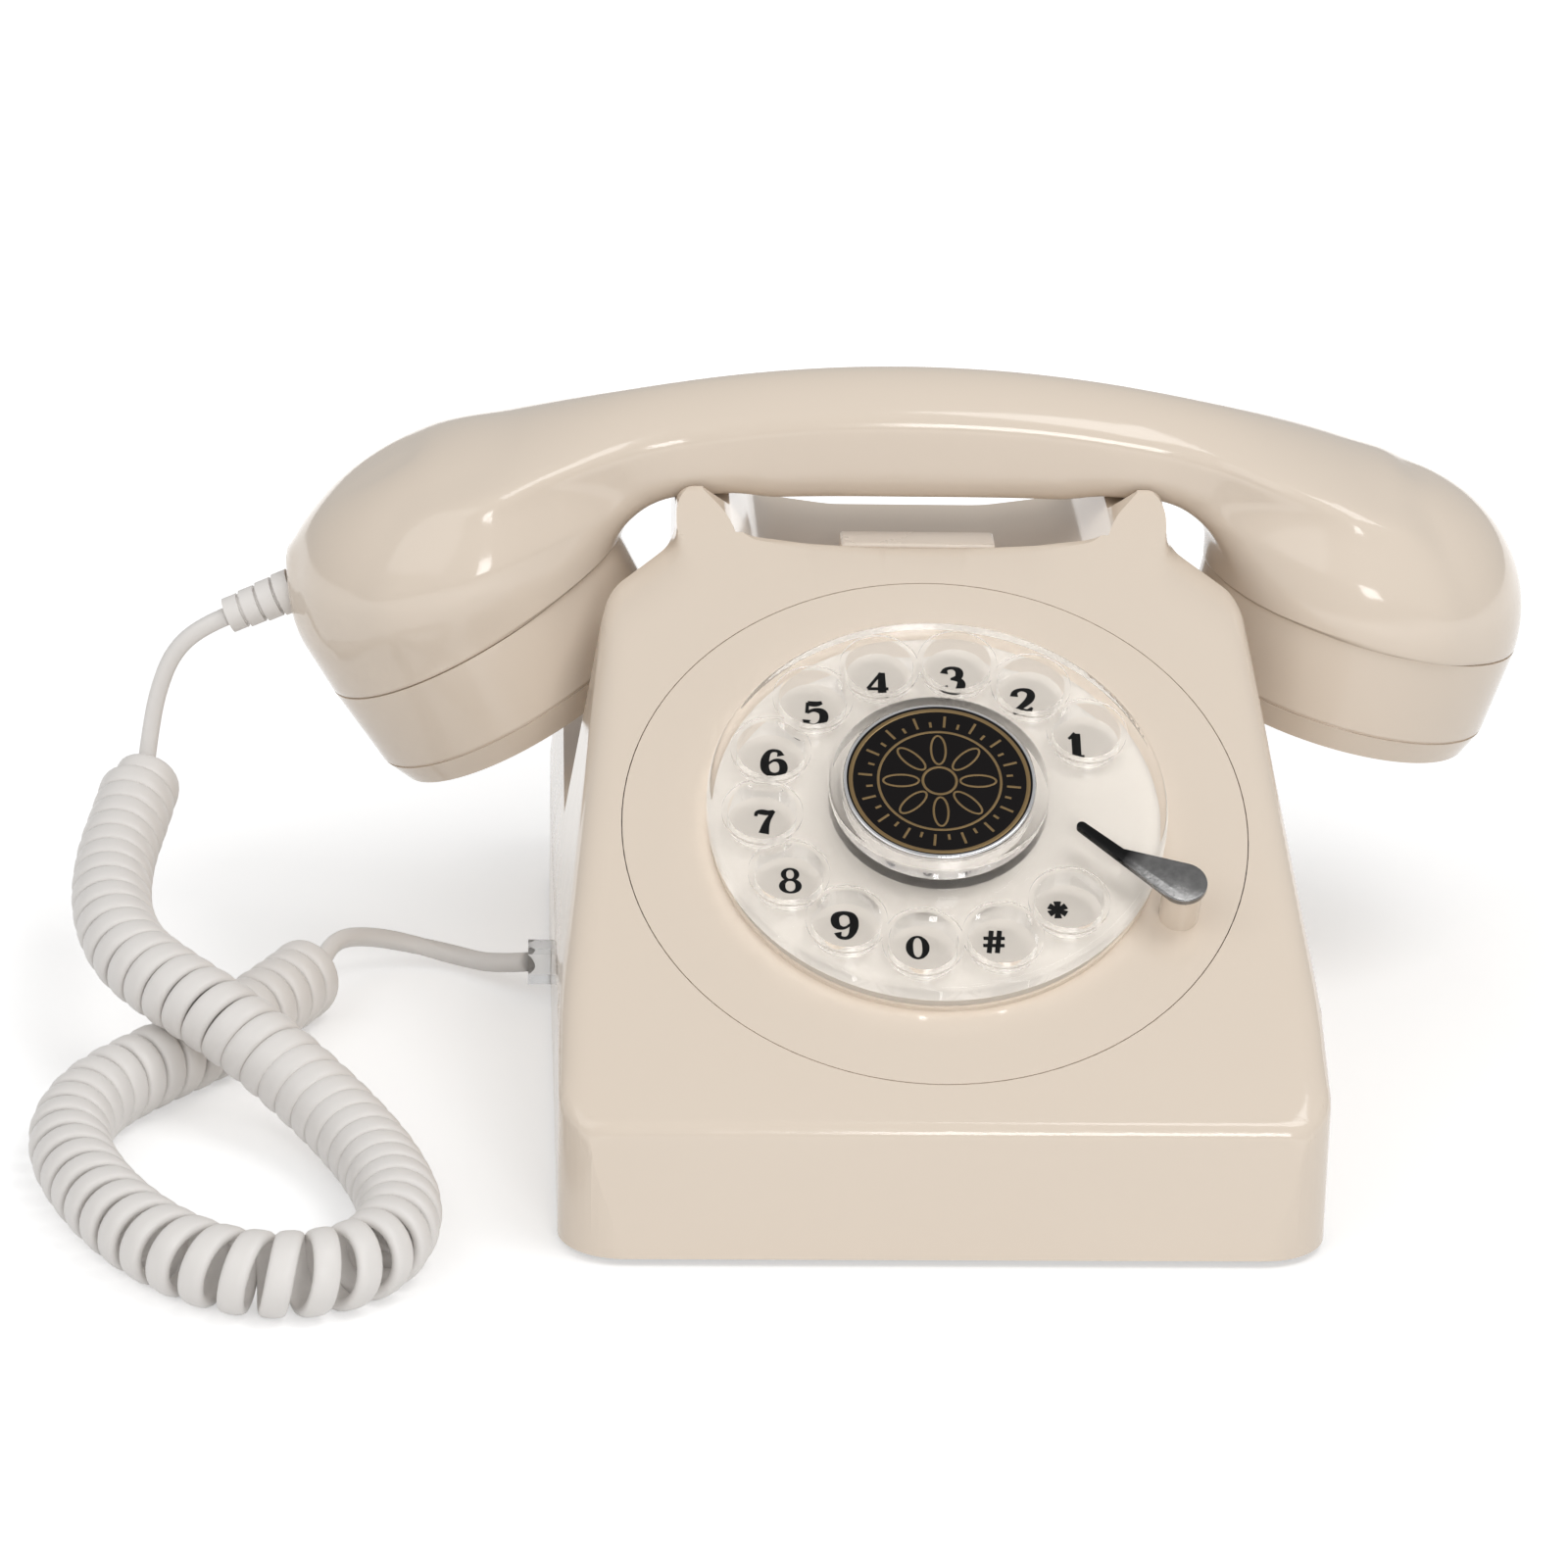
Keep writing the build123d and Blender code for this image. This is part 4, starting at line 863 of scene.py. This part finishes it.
# %% Dial strokes
slope = math.radians(31.4)
face_run = 67.8
dial_centre = np.array([0, -98 + face_run * math.cos(slope), 26.4 + face_run * math.sin(slope)])
plate_level, badge_level = 2.52, 13.82
ink_thickness, line_thickness = 0.12, 0.1
figure_strokes = {
    "1": [[(-1.3, 1.5, 0.4), (-0.5, 2.1, 0.7), (0.1, 2.7, 0.9)],
          [(0.1, 2.7, 1.3), (0.1, -2.5, 1.3)], [(-1.3, -2.6, 0.45), (1.5, -2.6, 0.45)]],
    "2": [[(-1.5, 1.2, 1.2), (-1.4, 2.3, 0.8), (0, 3, 0.5), (1.7, 2.4, 1.1), (1.7, 0.8, 1.3),
           (0.2, -0.9, 0.9), (-1.6, -2.3, 0.5)],
          [(-1.7, -2.4, 0.6), (-0.6, -2, 1), (0.9, -2.6, 1), (1.8, -1.4, 0.4)]],
    "3": [[(-1.4, 1.5, 1.2), (-1.2, 2.6, 0.6), (0.3, 3, 0.5), (1.6, 2.2, 1.2), (1.4, 0.5, 1.1),
           (-0.2, 0.2, 0.4)],
          [(-0.2, 0.2, 0.4), (1.6, 0.1, 0.9), (1.9, -1.4, 1.4), (0.8, -2.9, 0.8),
           (-1, -2.9, 0.5), (-1.6, -1.6, 1.3)]],
    "4": [[(0.7, 2.7, 0.5), (-1.9, -1.1, 0.5)], [(-1.9, -1.1, 0.55), (2, -1.1, 0.55)],
          [(0.8, 2.7, 1), (0.8, -2.6, 1.3)], [(-0.3, -2.6, 0.45), (1.9, -2.6, 0.45)]],
    "5": [[(-1.2, 2.4, 0.9), (0.4, 2.2, 1), (1.5, 2.6, 0.6)],
          [(-1.2, 2.6, 0.5), (-1.4, 0.1, 0.5)],
          [(-1.4, 0.2, 0.5), (0, 1, 0.6), (1.8, 0.4, 1.3), (1.8, -1.8, 1.3), (0.2, -3, 0.6),
           (-1.6, -2.4, 0.7), (-1.5, -1.5, 1.2)]],
    "6": [[(1.3, 1.6, 1.1), (1, 2.8, 0.5), (-0.8, 2.9, 0.6), (-1.8, 0.6, 1.3), (-1.7, -2.2, 1.2),
           (0.1, -3, 0.5), (1.8, -2.2, 1.2), (1.7, 0.1, 1.2), (0.1, 0.8, 0.4),
           (-1.3, -0.5, 0.4)]],
    "7": [[(-1.7, 1.4, 0.45), (-1.6, 2.3, 0.6), (-0.6, 2.4, 1), (0.6, 2.1, 0.9), (1.7, 2.6, 0.5)],
          [(1.7, 2.6, 0.45), (0.3, 0.2, 0.8), (-0.3, -2.6, 1.5)]],
    "#": [[(-1, -2.5, 0.7), (-0.4, 2.5, 0.7)], [(0.5, -2.5, 0.7), (1.1, 2.5, 0.7)],
          [(-1.9, 0.8, 0.6), (2, 0.8, 0.6)], [(-2, -0.8, 0.6), (1.9, -0.8, 0.6)]],
    "*": [[(-1.6, -0.9, 1.1), (0, 0, 0.5), (1.6, 0.9, 1.1)],
          [(-1.6, 0.9, 1.1), (0, 0, 0.5), (1.6, -0.9, 1.1)],
          [(0, -1.9, 1.1), (0, 0, 0.5), (0, 1.9, 1.1)]],
}


def loop_stroke(x, y, across, up, thick, thin, count=48):
    """A closed ring of points with widths: thick at its sides and thin at its top and bottom."""
    a = circle(count)
    return np.c_[x + across * np.cos(a), y + up * np.sin(a), thin + (thick - thin) * np.cos(a) ** 2]


def cut_corners(points, rounds=3):
    """Chaikin's smoothing of an open line: each side keeps its middle half, and the ends stay."""
    points = np.asarray(points, float)
    for _ in range(rounds):
        a, b = points[:-1], points[1:]
        inner = np.stack([a * 0.75 + b * 0.25, a * 0.25 + b * 0.75], 1).reshape(-1, points.shape[1])
        points = np.concatenate([points[:1], inner, points[-1:]])
    return points


def band(stroke, level, thickness, closed=False, sides=8):
    """Points and faces of a low band along a flat stroke of x, y and width, closed all round."""
    stroke = np.asarray(stroke, float)
    if closed:
        ahead = np.roll(stroke, -1, 0)[:, :2] - np.roll(stroke, 1, 0)[:, :2]
    else:
        ahead = np.gradient(stroke[:, :2], axis=0)
    ahead = unit(ahead)
    across = np.c_[ahead[:, 1], -ahead[:, 0]]
    turn = circle(sides)
    wide = np.cos(turn)[None, :, None] * stroke[:, 2][:, None, None] / 2
    flat = stroke[:, None, :2] + across[:, None, :] * wide
    high = np.broadcast_to(level + thickness / 2 * np.sin(turn), flat.shape[:2])
    points = np.concatenate([flat, high[..., None]], -1).reshape(-1, 3)
    rows = len(stroke)
    faces = (grid_faces(rows + closed, sides) % (rows * sides))[:, ::-1].tolist()
    if closed:
        return points, faces
    ring = np.arange(sides)
    return points, faces + [ring.tolist(), (ring[::-1] + (rows - 1) * sides).tolist()]


def joined(pieces):
    """One array of points and one list of faces from several."""
    points, faces, first = [], [], 0
    for some, theirs in pieces:
        points.append(some)
        faces += [[i + first for i in face] for face in theirs]
        first += len(some)
    return np.concatenate(points), faces


def on_dial(points):
    """Points of the dial's own frame, in millimetres, as places in the scene's metres."""
    out = np.array([0, -math.sin(slope), math.cos(slope)])
    axes = np.array([[1.0, 0, 0], [0, math.cos(slope), math.sin(slope)], out])
    return (dial_centre + np.asarray(points, float) @ axes) * MM


def at_angle(degrees, radius):
    """The point this far from the dial's middle, in this direction."""
    turn = math.radians(degrees)
    return radius * np.array([math.cos(turn), math.sin(turn)])


# %% Figures and badge pattern
figure_order = "1234567890#*"
figure_first, figure_pitch, figure_circle = 30.1, 25.84, 31.4
figure_shift = np.array([-0.4, 1.5])
figure_boldness = 1.32
figure_loops = {"8": [(0, 1.4, 1.2, 1.25, 1.0, 0.5), (0, -1.25, 1.5, 1.45, 1.2, 0.5)],
                "0": [(0, 0, 1.5, 2.4, 1.35, 0.5)]}
badge_rings = [(16.35, 0.75), (11.3, 0.5), (3.1, 0.5)]
ray_count, ray_low, ray_highs, ray_width = 32, 12.4, (13.6, 15.0), 0.5
leaf_count, leaf_middle, leaf_half, leaf_bulge, leaf_width = 8, 7.1, 3.3, 1.35, 0.42
ring_steps, leaf_steps = 96, 28


def figure_pieces(figure, x, y):
    """The bands of one figure with its middle at x, y on the plate. A 9 is a 6 turned round."""
    pieces = []
    turned = -1 if figure == "9" else 1
    for stroke in figure_strokes.get("6" if figure == "9" else figure, []):
        line = cut_corners(stroke)
        line[:, :2] *= turned
        line[:, 2] *= figure_boldness
        pieces.append(band(line + [x, y, 0], plate_level, ink_thickness))
    for across, up, *sizes in figure_loops.get(figure, []):
        loop = loop_stroke(x + across, y + up, *sizes)
        pieces.append(band(loop, plate_level, ink_thickness, True))
    return pieces


def badge_pieces():
    """A border, two inner rings, short rays between them and a star of eight slim leaves."""
    pieces = [band(loop_stroke(0, 0, r, r, width, width, ring_steps), badge_level,
                   line_thickness, True) for r, width in badge_rings]
    for i in range(ray_count):
        turn = 360 * (i + 0.5) / ray_count
        ray = [(*at_angle(turn, r), ray_width) for r in (ray_low, ray_highs[i % 2])]
        pieces.append(band(ray, badge_level, line_thickness))
    for i in range(leaf_count):
        turn = 360 * i / leaf_count
        t = circle(leaf_steps)[:, None]
        leaf = (at_angle(turn, 1) * (leaf_middle + leaf_half * np.cos(t))
                + at_angle(turn + 90, 1) * leaf_bulge * np.sin(t))
        line = np.c_[leaf, np.full(len(t), leaf_width)]
        pieces.append(band(line, badge_level, line_thickness, True))
    return pieces


figures = []
for i, figure in enumerate(figure_order):
    middle = at_angle(figure_first + figure_pitch * i, figure_circle) + figure_shift
    figures += figure_pieces(figure, *middle)
plate_points, plate_faces = joined(figures)
plate_figures = mesh_object("plate_figures", on_dial(plate_points), plate_faces, ink, False)
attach(plate_figures, "base")
badge_points, badge_faces = joined(badge_pieces())
badge_pattern = mesh_object("badge_pattern", on_dial(badge_points), badge_faces, badge_gold, False)
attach(badge_pattern, "dial_rotor")
print("figures:", len(plate_faces), "faces, badge:", len(badge_faces), "faces")

# %% [markdown]
# The finger stop and the button have fine soft edges that catch the light. Each is a joined copy of
# its solid, cleaned of the lines inside flat faces, with a narrow bevel.

# %% Small softened pieces
flat_angle = math.radians(1.0)
bevel_angle = math.radians(40)
stop_angle, stop_reach, stop_level = -24.5, 48.4, 9.6
soft_copies = [("finger_stop", stop_chrome, 0.4, "base", "chrome"),
               ("recall_button", button_tone_and_painted_light, 0.5, "button", "case_plastic")]


def beveled_copy(name, source, material, width):
    """A copy of a node's mesh with joined corners, whole flat faces and a bevel on sharp edges."""
    shape = clean_shape(source)
    bmesh.ops.dissolve_limit(shape, angle_limit=flat_angle, verts=shape.verts, edges=shape.edges)
    copy = dressed(mesh_from(shape, name), material)
    soft = copy.modifiers.new("soft edges", "BEVEL")
    soft.limit_method = "ANGLE"
    soft.angle_limit = bevel_angle
    soft.width = width * MM
    soft.segments = 3
    soft.harden_normals = True
    return copy


def darker_away(material, centre, near, far, dark):
    """The material's colour is mottled by fine noise, and turns to a dark one from near to far from
    a point, in millimetres."""
    tree = material.node_tree
    shader = tree.nodes["Principled BSDF"]
    colour = shader.inputs["Base Color"].links[0].from_socket
    place = node(tree, "TexCoord").outputs["Object"]
    mottle = node(tree, "TexNoise", place, Scale=700.0, Detail=3.0)
    feed(tree, colour.node, mottle.outputs["Fac"])
    away = node(tree, "VectorMath", place, centre, operation="DISTANCE").outputs["Value"]
    share = node(tree, "MapRange", away, near * MM, far * MM).outputs["Result"]
    feed(tree, shader, colour_mix(tree, share, colour, (*dark, 1)))


stop_head = on_dial([*at_angle(stop_angle, stop_reach), stop_level])
darker_away(stop_chrome, stop_head, 8.0, 12.0, (0.02, 0.02, 0.02))
for source, material, width, body, slot in soft_copies:
    piece = beveled_copy(source + "_skin", nodes[source], material, width)
    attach(piece, body)
    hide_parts(source)
    print(source, "skin:", len(piece.data.polygons), "faces before the bevel")

# %% [markdown]
# The spring under the button shortens when the button goes down. A joined copy of the solid stands
# for it.

# %% Button spring
spring_points, spring_faces = joined_mesh(nodes["button_spring"])
spring_coil = mesh_object("button_spring_coil", spring_points * MM, spring_faces.tolist(), steel)
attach(spring_coil, "base")
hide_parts("button_spring")
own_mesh(spring_coil)

# %% [markdown]
# The stage is a pale floor and background. What the camera sees of it is plain white, while the
# light on the telephone stays at a plain level, and the floor keeps a soft shadow.

# %% Floor and background
floor_half = 6


def seen_ray(tree, *kinds):
    """Output that is 1 for a camera ray or a ray of these kinds, and 0 for others."""
    path = node(tree, "LightPath").outputs
    seen = path["Is Camera Ray"]
    for kind in kinds:
        seen = node(tree, "Math", seen, path[kind], operation="MAXIMUM").outputs[0]
    return seen


def stage_material():
    """Pale floor that keeps the telephone's shadow. To the camera, and seen in metal or clear
    plastic, some light of its own is added, and more of it further away, so that it turns white."""
    material, tree = new_material("floor")
    shader = feed(tree, tree.nodes["Principled BSDF"], (0.84, 0.84, 0.84, 1), Roughness=0.9,
                  Specular_IOR_Level=0.1)
    place = node(tree, "TexCoord").outputs["Object"]
    far = node(tree, "VectorMath", place, operation="LENGTH").outputs["Value"]
    glow = node(tree, "MapRange", far, From_Min=0.12, From_Max=0.62, To_Min=0.36, To_Max=1.0)
    seen = seen_ray(tree, "Is Glossy Ray", "Is Transmission Ray")
    strength = node(tree, "Math", glow.outputs["Result"], seen, operation="MULTIPLY")
    light = node(tree, "Emission", Strength=strength.outputs[0])
    both = node(tree, "AddShader", shader.outputs[0], light.outputs[0])
    feed(tree, tree.nodes["Material Output"], both.outputs[0])
    return material


corners = floor_half * np.array([(-1, -1, 0), (1, -1, 0), (1, 1, 0), (-1, 1, 0)])
floor = mesh_object("floor", corners, [(0, 1, 2, 3)], stage_material())

# %% World and lamps
ambient = 0.50
lamps_face = np.array([0, 0, 0.06])


def studio_world():
    """White all round: plain white where it is seen, and a gentle even light on everything."""
    world = bpy.data.worlds.new("studio")
    bpy.context.scene.world = world
    world.use_nodes = True
    tree = world.node_tree
    soft = feed(tree, tree.nodes["Background"], (1.0, 1.0, 1.0, 1), ambient)
    bright = node(tree, "Background", Strength=1.0)
    mix = node(tree, "MixShader", seen_ray(tree, "Is Transmission Ray"), soft.outputs[0],
               bright.outputs[0])
    feed(tree, tree.nodes["World Output"], mix.outputs[0])


def softbox(name, towards, distance, width, height, power):
    """Rectangular lamp that stands in this direction from the telephone's middle and faces it."""
    data = bpy.data.lights.new(name, "AREA")
    data.shape = "RECTANGLE"
    data.size = width
    data.size_y = height
    data.energy = power
    back = unit(np.array(towards, float))
    right = unit(np.cross(upwards, back))
    place = lamps_face + back * distance
    placed(linked(name, data), place, right, np.cross(back, right), back)


studio_world()
softbox("window lamp", (0.16, -0.94, 0.33), 1.3, 0.32, 0.34, 3.1)
softbox("top lamp", (0.33, -0.32, 0.89), 1.0, 0.45, 0.40, 2.3)
softbox("fill lamp", (-0.85, -0.75, 1.0), 1.8, 1.4, 1.2, 5)
bpy.context.scene.view_settings.view_transform = "Standard"
